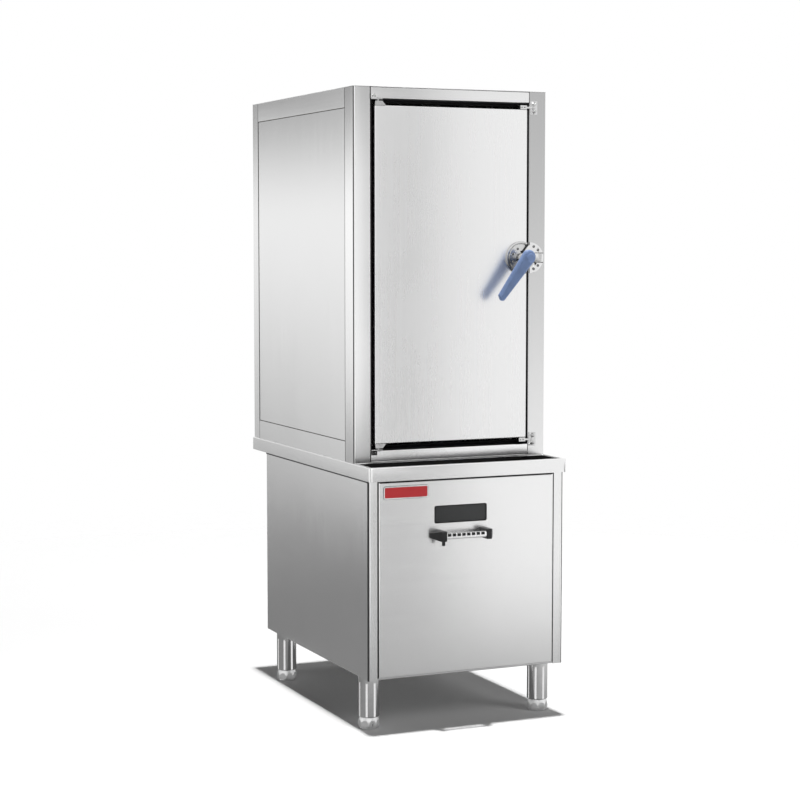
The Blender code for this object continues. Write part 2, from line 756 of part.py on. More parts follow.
def steam_riser():
    """The pipe that brings steam up from the boiler, with a collar on the floor and slots under its cap."""
    top = DECK_TOP + RISER_TOP
    inner = RISER_R - RISER_WALL
    collar = (PAN_TOP + SEAT, PAN_TOP + SEAT + RISER_COLLAR_T)
    foot = TANK_HEAD - TANK_T
    cap_foot, ceiling = top - RISER_CAP_T, top - RISER_WALL * 2
    profile = [(0, top), (RISER_CAP_R - RISER_CAP_T, top), (RISER_CAP_R, top - RISER_CAP_SLOPE),
               (RISER_CAP_R, cap_foot), (RISER_R, cap_foot), (RISER_R, collar[1]),
               (RISER_COLLAR_R, collar[1]), (RISER_COLLAR_R, collar[0]), (RISER_R, collar[0]),
               (RISER_R, foot), (inner, foot), (inner, ceiling), (0, ceiling)]
    pipe = turned("steam_riser", profile, (*RISER_PLACE, 0))
    slot_head = top - RISER_CAP_T - RISER_SLOT_DROP
    for index in range(RISER_SLOTS):
        slot = block(f"riser_slot_{index}", (-RISER_R - OVERRUN, RISER_R + OVERRUN),
                     (-RISER_SLOT_W / 2, RISER_SLOT_W / 2), (slot_head - RISER_SLOT_H, slot_head))
        spin = Matrix.Rotation(math.pi * index / RISER_SLOTS, 4, "Z")
        slot.matrix_world = Matrix.Translation((*RISER_PLACE, 0)) @ spin
        cut(pipe, slot)
    finish(pipe, "polished")


def door_gasket():
    """The rubber that lines the opening: a thin skirt on the jambs and a lip behind the door's rim."""
    outer = OPEN_HALF - SEAT
    height = (OPEN_FOOT + SEAT, OPEN_HEAD - SEAT)
    ring = block("door_gasket", (-outer, outer), (BOX_FRONT + SKIRT_SUNK, JAMB_BACK), height)
    inside = outer - SKIRT_T
    cut(ring,
        block("gasket_mouth", (-inside, inside), (BOX_FRONT - OVERRUN, JAMB_BACK - LIP_T),
              (height[0] + SKIRT_T, height[1] - SKIRT_T)),
        block("gasket_hole", (-LINER_HALF, LINER_HALF), (BOX_FRONT - OVERRUN, JAMB_BACK + OVERRUN),
              (OPEN_FOOT + LIP_W, OPEN_HEAD - LIP_W)))
    for end in (-1, 1):
        x, y, z = pivot_spans(end)
        cut(ring, block(f"gasket_notch_{end}", grown(*x, PIVOT_NOTCH), grown(*y, PIVOT_NOTCH),
                        grown(*z, PIVOT_NOTCH)))
    finish(ring, "rubber")


# Door


def door():
    x, z = (-DOOR_HALF, DOOR_HALF), (DOOR_FOOT, DOOR_HEAD)
    inner = DOOR_HALF - SHEET
    hollow = (DOOR_FOOT + SHEET, DOOR_HEAD - SHEET)
    skin = block("door_skin", x, (DOOR_FACE, DOOR_BACK + OVERRUN), z, DOOR_CORNER_R)
    behind = (DOOR_BACK, DOOR_BACK + OVERRUN * 2)
    cut(skin, block("door_trim", grown(*x, OVERRUN), behind, grown(*z, OVERRUN)),
        block("door_hollow", (-inner, inner), (DOOR_FACE + SHEET, DOOR_BACK + OVERRUN), hollow))
    finish(skin, "satin")
    fit = inner - SEAT
    levels = (hollow[0] + SEAT, hollow[1] - SEAT)
    sheet_back = DOOR_BACK - DOOR_SHEET_SUNK
    finish(block("door_inner_sheet", (-fit, fit), (sheet_back - SHEET, sheet_back), levels), "polished")
    filling = (DOOR_FACE + SHEET + SEAT, sheet_back - SHEET - SEAT)
    finish(block("door_insulation", (-fit, fit), filling, levels), "wool")


def pivot_spans(end):
    """The limits of a pivot bracket's plate: end is 1 at the top of the opening and -1 at its foot."""
    seat = OPEN_HEAD - SEAT if end > 0 else OPEN_FOOT + SEAT
    z = sorted((seat, seat - end * PIVOT_T))
    return (-OPEN_HALF + SEAT, PIN_X + PIVOT_RIGHT), (DOOR_FACE, BOX_FRONT + PIVOT_BACK), z


def pivots():
    """The two pivots in the gaps at the hinge side: a bracket with its pin, and the door's bored block."""
    for end, label in ((1, "top"), (-1, "bottom")):
        x, y, z = pivot_spans(end)
        edge = DOOR_HEAD if end > 0 else DOOR_FOOT
        frame_edge = OPEN_HEAD if end > 0 else OPEN_FOOT
        bracket = block(f"hinge_bracket_{label}", x, y, z, PIVOT_EDGE_R)
        inside = z[0] if end > 0 else z[1]
        lip_y = (BOX_FRONT - SEAT - PIVOT_T, BOX_FRONT - SEAT)
        lip_z = sorted((inside, frame_edge + end * PIVOT_LIP_H))
        lip = block(f"pivot_lip_{label}", (x[0], x[0] + PIVOT_LIP_W), lip_y, lip_z)
        pin = rod(f"pivot_pin_{label}", PIN_R, (PIN_X, BOX_FRONT, inside + end * PIVOT_T / 2),
                  (PIN_X, BOX_FRONT, edge + end * PIN_END_GAP))
        finish(join(bracket, lip, pin), "satin")

        left, foot_right = -DOOR_HALF, -DOOR_HALF + BLOCK_FOOT_W
        head_left = left + BLOCK_HEAD_INSET
        low, high = edge + end * SEAT, edge + end * BLOCK_H
        outline = [(left, low), (foot_right, low), (head_left + BLOCK_HEAD_W, high), (head_left, high)]
        place = (0, BOX_FRONT + DOOR_PROUD, 0)
        base = plate(f"hinge_block_{label}", outline, DOOR_PROUD * 2, place, TO_FRONT)
        bore = rod(f"pivot_bore_{label}", PIN_R + RUN_FIT, (PIN_X, BOX_FRONT, low - end * OVERRUN),
                   (PIN_X, BOX_FRONT, high + end * OVERRUN))
        finish(cut(base, bore), "satin")


def catches():
    """The two catches at the free side: a tongue on the door that closes between two studs on the post."""
    for end, label in ((1, "top"), (-1, "bottom")):
        edge = DOOR_HEAD if end > 0 else DOOR_FOOT
        right = DOOR_HALF - CATCH_INSET
        head = edge + end * BLOCK_H
        body = block(f"catch_block_{label}", (right - CATCH_W, right), (DOOR_FACE, BOX_FRONT + CATCH_BACK),
                     sorted((edge + end * SEAT, head)), EDGE_R)
        tongue_z = sorted((head - end * TONGUE_DROP, head - end * (TONGUE_DROP + TONGUE_H)))
        tongue = block(f"catch_tongue_{label}", (right - CATCH_W / 2, right + TONGUE_REACH),
                       (DOOR_FACE + SEAT, DOOR_FACE + SEAT + TONGUE_T), tongue_z)
        finish(join(body, tongue), "satin")

        middle = sum(tongue_z) / 2
        x = (OPEN_HALF + KEEPER_INSET, OPEN_HALF + KEEPER_INSET + STUD_PLATE_W)
        y = (BOX_FRONT - SEAT - STUD_PLATE_T, BOX_FRONT - SEAT)
        z = (middle - STUD_PLATE_H / 2, middle + STUD_PLATE_H / 2)
        keeper = block(f"catch_keeper_{label}", x, y, z, PIVOT_EDGE_R)
        for side in (-1, 1):
            place = (sum(x) / 2, y[1] - STUD_PLATE_T / 2, middle + side * STUD_SPACING)
            tip = (place[0], y[0] - STUD_REACH, place[2])
            join(keeper, rod(f"catch_stud_{label}_{side}", STUD_R, place, tip, sides=16))
        finish(keeper, "satin")


# Latch


def latch_point(height):
    """A point on the spindle's axis, at a height from the door's face outwards."""
    return Vector((LATCH_X, DOOR_FACE - height, LATCH_Z))


def latch_plate():
    rim = LATCH_R - LATCH_RIM_W
    bore = SPINDLE_R + RUN_FIT
    profile = [(rim, LATCH_RIM_T), (LATCH_R - LATCH_BEVEL_W, LATCH_RIM_T), (LATCH_R, LATCH_RIM_T / 2),
               (LATCH_R, SEAT), (bore, SEAT), (bore, LATCH_FACE_T), (rim - LATCH_RIM_W, LATCH_FACE_T)]
    dish = turned("latch_plate", profile, latch_point(0), TO_FRONT, steps=40)
    limit = DOOR_HALF - LATCH_TRIM
    side = block("latch_trim", (limit, limit + LATCH_R), grown(DOOR_FACE - LATCH_RIM_T, DOOR_FACE, OVERRUN),
                 grown(LATCH_Z - LATCH_R, LATCH_Z + LATCH_R, OVERRUN))
    finish(cut(dish, side), "polished")


def latch_spindle():
    """The spindle with its cam, which turns in behind the keeper's bridge."""
    profile = [(0, STUB_TOP), (STUB_R, STUB_TOP), (STUB_R, NECK_TOP), (NECK_R, NECK_TOP),
               (NECK_R, NECK_FOOT), (SPINDLE_R, NECK_FOOT), (SPINDLE_R, SEAT), (0, SEAT)]
    shaft = turned("latch_spindle", profile, latch_point(0), TO_FRONT, steps=28)
    half = CAM_W / 2
    outline = [(-half, 0), (half, 0)] + arc((0, CAM_REACH - half), half, 0, 180, 8)
    turn = TO_FRONT @ Matrix.Rotation(-LEVER_ANGLE, 4, "Z")
    cam = plate("latch_cam", outline, CAM_T, latch_point(CAM_FOOT), turn)
    finish(join(shaft, cam), "chrome")


def latch_lever():
    """The tapered lever, drawn pointing straight down and then turned to its rest angle."""
    boss = arc((-LEVER_BOSS_SIDE, 0), LEVER_BOSS_R, -10, 190, 14)
    tip = (0, -LEVER_LENGTH)
    nub = [(-LEVER_TIP_R - LEVER_HOOK, tip[1] + LEVER_HOOK / 2),
           (-LEVER_TIP_R - LEVER_HOOK / 2, tip[1] - LEVER_HOOK_DROP)]
    outline = boss + nub + arc(tip, LEVER_TIP_R, 240, 360, 6)
    turn = TO_FRONT @ Matrix.Rotation(-LEVER_ANGLE, 4, "Z")
    foot = LEVER_TOP - LEVER_T
    arm = plate("latch_lever", outline, LEVER_T, latch_point(foot), turn)
    round_edges(arm, LEVER_ROUND, segments=2, angle=60)
    collar = rod("lever_collar", LEVER_NECK_R, latch_point(NECK_TOP + SEAT), latch_point(foot + LEVER_T / 2))
    button = rod("lever_button", LEVER_CAP_R, latch_point(LEVER_TOP - LEVER_T / 2),
                 latch_point(LEVER_TOP + LEVER_CAP_T))
    bore = rod("lever_bore", STUB_R + RUN_FIT, latch_point(NECK_FOOT), latch_point(STUB_TOP + SEAT))
    finish(cut(join(arm, collar, button), bore), "blue")


def latch_keeper():
    """The half-round keeper on the post, its bridge closed at the foot and at the far end."""
    straight = OPEN_HALF + KEEPER_INSET
    outline = arc((0, 0), KEEPER_R, -90, 90, 18)
    base = plate("latch_keeper", outline, KEEPER_T, (straight, BOX_FRONT - SEAT, LATCH_Z), TO_FRONT)
    inner = DOOR_FACE - CAM_FOOT - CAM_T - BRIDGE_CLEAR
    x = (straight + BRIDGE_START, straight + BRIDGE_END)
    z = (LATCH_Z - BRIDGE_H / 2, LATCH_Z + BRIDGE_H / 2)
    root = BOX_FRONT - SEAT - KEEPER_T / 2
    strap = block("bridge_strap", x, (inner - BRIDGE_T, inner), z)
    sole = block("bridge_foot", x, (inner - BRIDGE_T, root), (z[0], z[0] + BRIDGE_FOOT))
    wall = block("bridge_wall", (x[1] - BRIDGE_WALL, x[1]), (inner - BRIDGE_T, root), z)
    finish(join(base, sole, wall, strap), "polished")


# Worktop and base


def worktop():
    x, y = (-DECK_HALF, DECK_HALF), (DECK_FRONT, DECK_BACK)
    foot = DECK_TOP - DECK_APRON
    top = rounded_corners(block("worktop", x, y, (foot - OVERRUN, DECK_TOP), DECK_EDGE_R), DECK_CORNER_R)
    hollow = block("worktop_hollow", grown(*x, -SHEET), grown(*y, -SHEET), (foot - OVERRUN, DECK_TOP - SHEET))
    cut(top, block("worktop_trim", grown(*x, OVERRUN), grown(*y, OVERRUN), (foot - OVERRUN * 2, foot)),
        rounded_corners(hollow, DECK_CORNER_R - SHEET))
    field_x = (x[0] + RIM_W, x[1] - RIM_W)
    field_y = (y[0] + RIM_W, BOX_FRONT - RIM_BACK_GAP)
    floor = DECK_TOP - RIM_H
    under = (grown(*field_x, SHEET), grown(*field_y, SHEET), (floor - SHEET, DECK_TOP - SHEET / 2))
    join(top, block("worktop_field", *under))
    cut(top, block("worktop_sunk", field_x, field_y, (floor, DECK_TOP + OVERRUN)),
        riser_hole("worktop_hole", DECK_TOP - SHEET, DECK_TOP))
    finish(top, "satin")


def base_sides():
    inner = BODY_HALF - RETURN_W
    line = [(-inner, BODY_BACK), (-BODY_HALF, BODY_BACK), (-BODY_HALF, BODY_FRONT), (-inner, BODY_FRONT)]
    finish(folded("base_side_left", line, "Z", BODY_FOOT, BODY_HEAD), "satin")
    finish(folded("base_side_right", mirrored(line), "Z", BODY_FOOT, BODY_HEAD), "satin")


def base_back():
    """The base's back sheet, with louvres, the holes for the boiler's ports and the mains gland."""
    half = BODY_HALF - RETURN_W - SEAT
    y = (BODY_BACK - SHEET, BODY_BACK)
    sheet = block("base_back", (-half, half), y, (BODY_FOOT + SHEET + SEAT, BODY_HEAD))
    cut(sheet, rod("back_hole_inlet", INLET_R + PORT_FIT, *port_line(INLET_X, inlet_level())),
        rod("back_hole_drain", DRAIN_R + PORT_FIT, *port_line(DRAIN_X, drain_level())))
    for index in range(LOUVRE_COUNT):
        level = LOUVRE_Z + LOUVRE_STEP * index
        cut(sheet, block(f"louvre_{index}", (LOUVRE_X - LOUVRE_W / 2, LOUVRE_X + LOUVRE_W / 2),
                         grown(*y, OVERRUN), (level, level + LOUVRE_H)))
    dome, tip = gland_point(GLAND_HEX_T - SHEET), gland_point(GLAND_REACH)
    join(sheet, rod("gland_hex", GLAND_R, gland_point(-SHEET / 2), gland_point(GLAND_HEX_T), sides=6),
         rod("gland_dome", GLAND_DOME_R, dome, tip, sides=20, end_radius=GLAND_TIP_R))
    bore = (gland_point(-SHEET - OVERRUN), gland_point(GLAND_REACH + OVERRUN))
    cut(sheet, rod("gland_bore", GLAND_BORE, *bore, sides=20))
    finish(sheet, "satin")


def gland_point(reach):
    """A point on the mains gland's axis, at a distance behind the base's back sheet."""
    return GLAND_X, BODY_BACK + reach, GLAND_Z


def base_floor():
    """The base's floor with its upturned flanges and the four leg tubes welded under it."""
    half = BODY_HALF - SHEET - SEAT
    front, back = BODY_FRONT + BEND_R, BODY_BACK - BEND_R
    pan = block("base_floor", (-half, half), (front, back), (BODY_FOOT, BODY_FOOT + BASE_FLANGE))
    cut(pan, block("base_hollow", (-half + SHEET, half - SHEET), (front - OVERRUN, back - SHEET),
                   (BODY_FOOT + SHEET, BODY_FOOT + BASE_FLANGE + OVERRUN)))
    foot = FOOT_H + SEAT
    head = BODY_FOOT + SHEET / 2
    bore = STEM_R + RUN_FIT
    inner = LEG_R - LEG_WALL
    plug, ceiling = foot + LEG_PLUG, BODY_FOOT - SHEET
    profile = [(0, head), (LEG_R, head), (LEG_R, foot + LEG_CHAMFER), (LEG_R - LEG_CHAMFER, foot),
               (bore, foot), (bore, plug), (inner, plug), (inner, ceiling), (0, ceiling)]
    for name, x, y in leg_places():
        join(pan, turned(f"leg_tube_{name}", profile, (x, y, 0), steps=28))
    finish(pan, "satin")


def leg_places():
    """The name and place of each leg."""
    for depth, y in zip(("front", "rear"), LEG_Y):
        for side, x in (("left", -LEG_X), ("right", LEG_X)):
            yield f"{depth}_{side}", x, y


def feet():
    """The adjustable feet: an eight-sided nut with a chamfered head on a round pad, and a threaded stem."""
    for name, x, y in leg_places():
        place = (x, y, 0)
        nut = rod(f"foot_{name}", LEG_R + EDGE_R, (0, 0, FOOT_BASE_H), (0, 0, FOOT_H), sides=FOOT_SIDES)
        nut.matrix_world = Matrix.Translation(place) @ Matrix.Rotation(math.pi / FOOT_SIDES, 4, "Z")
        shape = [(0, FOOT_H), (FOOT_NECK_R, FOOT_H), (LEG_R, FOOT_BASE_H + FOOT_FLAT_H),
                 (LEG_R, FOOT_BASE_H - OVERRUN), (0, FOOT_BASE_H - OVERRUN)]
        trim(nut, turned(f"foot_{name}_chamfer", shape, place, steps=24))
        stem = ((x, y, FOOT_H - EDGE_R), (x, y, FOOT_H + STEM_LENGTH))
        join(nut, rod(f"foot_{name}_pad", FOOT_BASE_R, place, (x, y, FOOT_BASE_H + EDGE_R)),
             rod(f"foot_{name}_stem", STEM_R, *stem, sides=16))
        finish(nut, "polished")


# Drawer


def drawer_front():
    x, z = (-DRAWER_HALF, DRAWER_HALF), (DRAWER_FOOT, DRAWER_HEAD)
    face = block("drawer_front", x, (DRAWER_FACE, DRAWER_BACK + OVERRUN), z, DOOR_CORNER_R)
    inner = DRAWER_HALF - SHEET
    behind = (DRAWER_BACK, DRAWER_BACK + OVERRUN * 2)
    hollow = (DRAWER_FACE + SHEET, DRAWER_BACK + OVERRUN)
    cut(face, block("drawer_trim", grown(*x, OVERRUN), behind, grown(*z, OVERRUN)),
        block("drawer_hollow", (-inner, inner), hollow, grown(*z, -SHEET)))
    for side in (-1, 1):
        reach = sorted((side * (inner + SHEET / 2), side * (TRAY_HALF - RETURN_W)))
        strip = block(f"drawer_return_{side}", reach, (DRAWER_BACK - SHEET, DRAWER_BACK),
                      grown(*z, -SHEET / 2))
        join(face, strip)
    cut(face, block("window_hole", WINDOW_X, (DRAWER_FACE - OVERRUN, DRAWER_FACE + OVERRUN), window_z()))
    finish(face, "satin")


def window_z():
    return (WINDOW_Z - WINDOW_H / 2, WINDOW_Z + WINDOW_H / 2)


def display_window():
    """The dark window: a pane in the drawer front's hole with a flange behind the sheet."""
    x, back, z = WINDOW_X, DRAWER_FACE + WINDOW_T, window_z()
    pane = block("display_window", grown(*x, -SEAT), (DRAWER_FACE + WINDOW_SUNK, back), grown(*z, -SEAT))
    join(pane, block("window_flange", grown(*x, WINDOW_FLANGE), (DRAWER_FACE + SHEET + SEAT, back),
                     grown(*z, WINDOW_FLANGE)))
    finish(pane, "window")


def drawer_tray():
    x = (-TRAY_HALF, TRAY_HALF)
    y = (TRAY_FRONT, TRAY_FRONT + TRAY_D)
    z = (TRAY_Z, TRAY_Z + TRAY_H)
    tray = block("drawer_tray", x, y, z)
    cut(tray, block("tray_hollow", grown(*x, -SHEET), grown(*y, -SHEET), (z[0] + SHEET, z[1] + OVERRUN)))
    finish(tray, "satin")


def drawer_slides():
    """A channel on each side of the base, and a runner on each side of the tray that slides in it."""
    wall = BODY_HALF - SHEET - SEAT
    tray = TRAY_HALF + SEAT
    mouth = tray + SHEET
    web = SLIDE_H / 2
    channel = [(SLIDE_Z - web, mouth), (SLIDE_Z - web, wall), (SLIDE_Z + web, wall), (SLIDE_Z + web, mouth)]
    start = TRAY_FRONT + SHEET
    reach = web - SHEET - RUN_FIT
    for side, label in ((1, "right"), (-1, "left")):
        line = [(z, side * x) for z, x in channel]
        if side > 0:
            line = list(reversed(line))
        finish(folded(f"slide_channel_{label}", line, "Y", start, start + SLIDE_L), "satin")
        x = sorted((side * tray, side * (tray + RUNNER_T)))
        runner = block(f"slide_runner_{label}", x, (start, start + RUNNER_L), grown(SLIDE_Z, SLIDE_Z, reach),
                       EDGE_R)
        finish(runner, "satin")


def power_module():
    """The drive for the coil: a cast housing, open below, with fins on top and a fan opening in its front."""
    front = TRAY_FRONT + SHEET + MODULE_FRONT
    z = (TRAY_Z + SHEET + SEAT, TRAY_Z + SHEET + SEAT + MODULE_H)
    box = block("power_module", (-MODULE_HALF, MODULE_HALF), (front, front + MODULE_D), z, MODULE_EDGE_R)
    pitch = (MODULE_HALF * 2 - FIN_T) / (FIN_COUNT + 1)
    for index in range(FIN_COUNT):
        x = -MODULE_HALF + pitch * (index + 1)
        join(box, block(f"fin_{index}", (x, x + FIN_T), (front + FIN_H, front + MODULE_D - FIN_H),
                        (z[1] - FIN_T, z[1] + FIN_H)))
    centre = (0, front - OVERRUN, (z[0] + z[1]) / 2)
    well = rod("fan_well", FAN_R, centre, (0, front + FAN_DEPTH, centre[2]), sides=32)
    inside = (front + FAN_DEPTH + MODULE_WALL, front + MODULE_D - MODULE_WALL)
    half = MODULE_HALF - MODULE_WALL
    cut(box, well, block("module_hollow", (-half, half), inside, (z[0] - OVERRUN, z[1] - MODULE_WALL)))
    join(box, rod("fan_hub", FAN_HUB_R, (0, front + EDGE_R, centre[2]),
                  (0, front + FAN_DEPTH + OVERRUN, centre[2]), sides=16))
    finish(box, "cast")


def cap_flanks(label, outer, shoulder, side):
    """Cutters that taper a handle cap above and below, down to its outer end."""
    flanks = []
    for edge in (-1, 1):
        past = HANDLE_Z + edge * (CAP_H / 2 + OVERRUN)
        end = outer + side * OVERRUN
        outline = [(end, HANDLE_Z + edge * CAP_END_H / 2), (shoulder, HANDLE_Z + edge * CAP_H / 2),
                   (shoulder, past), (end, past)]
        flanks.append(plate(f"cap_flank_{label}_{edge}", outline, HANDLE_REACH + OVERRUN * 2,
                            (0, DRAWER_FACE + OVERRUN, 0), TO_FRONT))
    return flanks


def handle():
    """The drawer handle: a flat polished bar between two wedge-shaped end caps."""
    middle = FRONT_UNIT_X
    half = HANDLE_LENGTH / 2
    z = (HANDLE_Z - CAP_H / 2, HANDLE_Z + CAP_H / 2)
    bar_z = (HANDLE_Z - BAR_H / 2, HANDLE_Z + BAR_H / 2)
    bar_y = (DRAWER_FACE - BAR_BACK - BAR_T, DRAWER_FACE - BAR_BACK)
    bar_half = half - CAP_W + CAP_POCKET
    for side, label in ((-1, "left"), (1, "right")):
        outer, inner = middle + side * half, middle + side * (half - CAP_W)
        shoulder = inner + side * CAP_TOP_W
        face = DRAWER_FACE - SEAT
        tip = DRAWER_FACE - HANDLE_REACH
        outline = [(outer, face), (inner, face), (inner, tip), (shoulder, tip),
                   (outer - side * CAP_HEEL, DRAWER_FACE - CAP_HEEL_REACH)]
        cap = plate(f"handle_cap_{label}", outline, CAP_H, (0, 0, z[0]))
        round_edges(cap, HANDLE_EDGE_R)
        pocket_x = sorted((inner - side * OVERRUN, inner + side * (CAP_POCKET + SEAT)))
        cut(cap, block(f"handle_pocket_{label}", pocket_x, grown(*bar_y, SEAT), grown(*bar_z, SEAT)),
            *cap_flanks(label, outer, shoulder, side))
        if side < 0:
            peg_x = inner - CAP_TOP_W / 2
            peg_y = tip + PEG_INSET
            peg = ((peg_x, peg_y, z[0] - PEG_DROP), (peg_x, peg_y, z[0] + PEG_R))
            join(cap, rod("handle_peg", PEG_R, *peg, sides=16))
        finish(cap, "black")
    bar = block("handle_bar", (middle - bar_half, middle + bar_half), bar_y, bar_z, HANDLE_EDGE_R)
    finish(bar, "chrome")


# Boiler


def inlet_level():
    return TANK_HEAD - INLET_DROP


def drain_level():
    return TANK_FOOT + DRAIN_RISE


def port_line(x, level):
    """The two ends of a port's axis, from inside the tank to past the base's back sheet."""
    return (x, TANK_Y[1] - TANK_T / 2, level), (x, BODY_BACK + PORT_REACH, level)


def boiler():
    """The water tank under the worktop, with its hangers, water inlet and drain."""
    half = TANK_HALF
    tank = block("boiler", (-half, half), TANK_Y, (TANK_FOOT, TANK_HEAD))
    hangers = []
    for side in (-1, 1):
        for y in (TANK_Y[0] + HANGER_INSET, TANK_Y[1] - HANGER_INSET - HANGER_W):
            x = sorted((side * (half - HANGER_INSET), side * (half - HANGER_INSET - HANGER_W)))
            z = (TANK_HEAD - TANK_T / 2, DECK_UNDER)
            hangers.append(block(f"hanger_{len(hangers)}", x, (y, y + HANGER_W), z))
    join(tank, *hangers)
    ports = (("inlet", INLET_R, port_line(INLET_X, inlet_level())),
             ("drain", DRAIN_R, port_line(DRAIN_X, drain_level())))
    for label, radius, ends in ports:
        join(tank, rod(f"{label}_port", radius, *ends))
    cut(tank, block("tank_hollow", (-half + TANK_T, half - TANK_T), grown(*TANK_Y, -TANK_T),
                    (TANK_FOOT + TANK_T, TANK_HEAD - TANK_T)))
    for label, radius, (start, end) in ports:
        reach = ((start[0], start[1] - OVERRUN, start[2]), (end[0], end[1] + OVERRUN, end[2]))
        cut(tank, rod(f"{label}_bore", radius - PORT_WALL, *reach))
    cut(tank, riser_hole("tank_hole", TANK_HEAD - TANK_T, TANK_HEAD))
    finish(tank, "polished")


def induction_coil():
    """The coil under the tank: a flat disc of litz wire in its holder, with a groove between the turns."""
    top = TANK_FOOT - SEAT
    foot = top - COIL_T
    pitch = (COIL_R - COIL_INNER_R) / COIL_TURNS
    profile = [(COIL_INNER_R, top), (COIL_R, top), (COIL_R, foot)]
    for index in range(1, COIL_TURNS):
        radius = COIL_R - pitch * index
        outer, inner = radius + COIL_GROOVE / 2, radius - COIL_GROOVE / 2
        profile += [(outer, foot), (radius, foot + COIL_GROOVE), (inner, foot)]
    profile.append((COIL_INNER_R, foot))
    finish(turned("induction_coil", profile, (0, sum(TANK_Y) / 2, 0), steps=36), "copper")


# Joints


def carry(obj, pivot):
    """Parents a piece to the empty of its joint, with everything that its Boolean modifiers use."""
    place = obj.matrix_world.copy()
    obj.parent = pivot
    obj.matrix_world = place
    for modifier in obj.modifiers:
        if modifier.type == "BOOLEAN":
            carry(modifier.object, pivot)


def hang(name, place, pieces):
    """An empty on a joint's axis, and the pieces that turn or slide with it."""
    pivot = bpy.data.objects.new(name, None)
    pivot.location = place
    PARTS.objects.link(pivot)
    bpy.context.view_layer.update()
    for piece in pieces:
        carry(bpy.data.objects[piece], pivot)
    return pivot


def joints():
    blocks = [f"{kind}_block_{end}" for kind in ("hinge", "catch") for end in ("top", "bottom")]
    swing = hang("door_hinge", (PIN_X, BOX_FRONT, (DOOR_FOOT + DOOR_HEAD) / 2),
                 ["door_skin", "door_inner_sheet", "door_insulation", "latch_plate", *blocks])
    carry(hang("latch_turn", latch_point(CAM_FOOT), ["latch_spindle", "latch_lever"]), swing)
    hang("drawer_slide", (0, TRAY_FRONT, SLIDE_Z),
         ["drawer_front", "display_window", "drawer_tray", "slide_runner_left", "slide_runner_right",
          "power_module", "handle_cap_left", "handle_cap_right", "handle_bar"])
    for label, x, y in leg_places():
        hang(f"foot_{label}_screw", (x, y, 0), [f"foot_{label}"])


front_posts()
front_rails()
rear_posts()
side_panels()
back_panel()
roof_cap()
floor_pan()
chamber_liner()
wall_insulation()
shelf_ladders()
shelves()
steam_riser()
door_gasket()
door()
pivots()
catches()
latch_plate()
latch_spindle()
latch_lever()
latch_keeper()
worktop()
base_sides()
base_back()
base_floor()
feet()
drawer_front()
display_window()
drawer_tray()
drawer_slides()
power_module()
handle()
boiler()
induction_coil()
joints()
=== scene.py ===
"""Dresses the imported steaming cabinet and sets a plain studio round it.

Metres, +Z up, the front towards -Y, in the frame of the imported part.
"""
import json
import math

import bmesh
import bpy
from bpy.props import FloatProperty, FloatVectorProperty, IntProperty, PointerProperty
from mathutils import Matrix, Vector

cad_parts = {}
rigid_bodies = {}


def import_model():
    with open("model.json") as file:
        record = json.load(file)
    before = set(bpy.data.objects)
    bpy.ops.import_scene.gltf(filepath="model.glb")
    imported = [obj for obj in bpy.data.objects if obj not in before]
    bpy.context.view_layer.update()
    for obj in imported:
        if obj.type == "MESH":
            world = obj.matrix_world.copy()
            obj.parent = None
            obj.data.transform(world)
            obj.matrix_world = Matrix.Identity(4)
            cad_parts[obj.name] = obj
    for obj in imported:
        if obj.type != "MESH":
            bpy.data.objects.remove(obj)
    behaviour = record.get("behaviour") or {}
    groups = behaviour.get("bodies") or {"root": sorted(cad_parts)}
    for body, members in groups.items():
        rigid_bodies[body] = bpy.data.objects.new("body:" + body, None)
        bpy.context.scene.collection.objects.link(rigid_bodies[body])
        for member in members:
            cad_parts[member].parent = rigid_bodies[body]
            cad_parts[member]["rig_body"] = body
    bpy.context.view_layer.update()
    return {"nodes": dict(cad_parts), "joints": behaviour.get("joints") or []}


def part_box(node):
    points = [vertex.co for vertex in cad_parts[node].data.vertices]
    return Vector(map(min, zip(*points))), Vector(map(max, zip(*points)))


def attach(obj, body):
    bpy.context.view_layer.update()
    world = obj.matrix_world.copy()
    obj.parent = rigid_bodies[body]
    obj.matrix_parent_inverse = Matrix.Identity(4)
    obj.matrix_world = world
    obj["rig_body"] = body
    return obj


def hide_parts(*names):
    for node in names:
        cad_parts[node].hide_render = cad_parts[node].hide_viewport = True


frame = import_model()

bl_info = {
    "name": "Steaming cabinet looks",
    "version": (1, 0, 0),
    "blender": (4, 5, 0),
    "location": "View3D > Sidebar > Steamer",
    "description": "Finishes, fittings and studio for the steaming cabinet",
    "category": "Object",
}

WELD = 0.00001

# Places in the frame
JOINTS = {joint["name"]: joint for joint in frame["joints"]}
LATCH_X, _, LATCH_Z = JOINTS["latch_turn"]["pos_m"]
DOOR_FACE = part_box("door_skin")[0].y
DRAWER_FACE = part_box("drawer_front")[0].y
POST_LOW, POST_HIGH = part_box("front_post_left")
BOX_FRONT, BOX_BACK = POST_LOW.y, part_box("rear_post_left")[1].y
BOX_FOOT, BOX_HEAD = POST_LOW.z, POST_HIGH.z
APRON_FOOT, DECK_TOP = (corner.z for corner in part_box("worktop"))
BASE_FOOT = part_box("base_side_left")[0].z
SIDES = {"left": -1, "right": 1}
LEG_NAMES = ("front_left", "front_right", "rear_left", "rear_right")

TO_FRONT = Matrix.Rotation(math.radians(90), 4, "X")
TO_BACK = Matrix.Rotation(math.radians(180), 4, "Z") @ TO_FRONT
TO_SIDE = Matrix.Rotation(math.radians(90), 4, "Y")
UPRIGHT = Matrix.Identity(4)


# Finishes


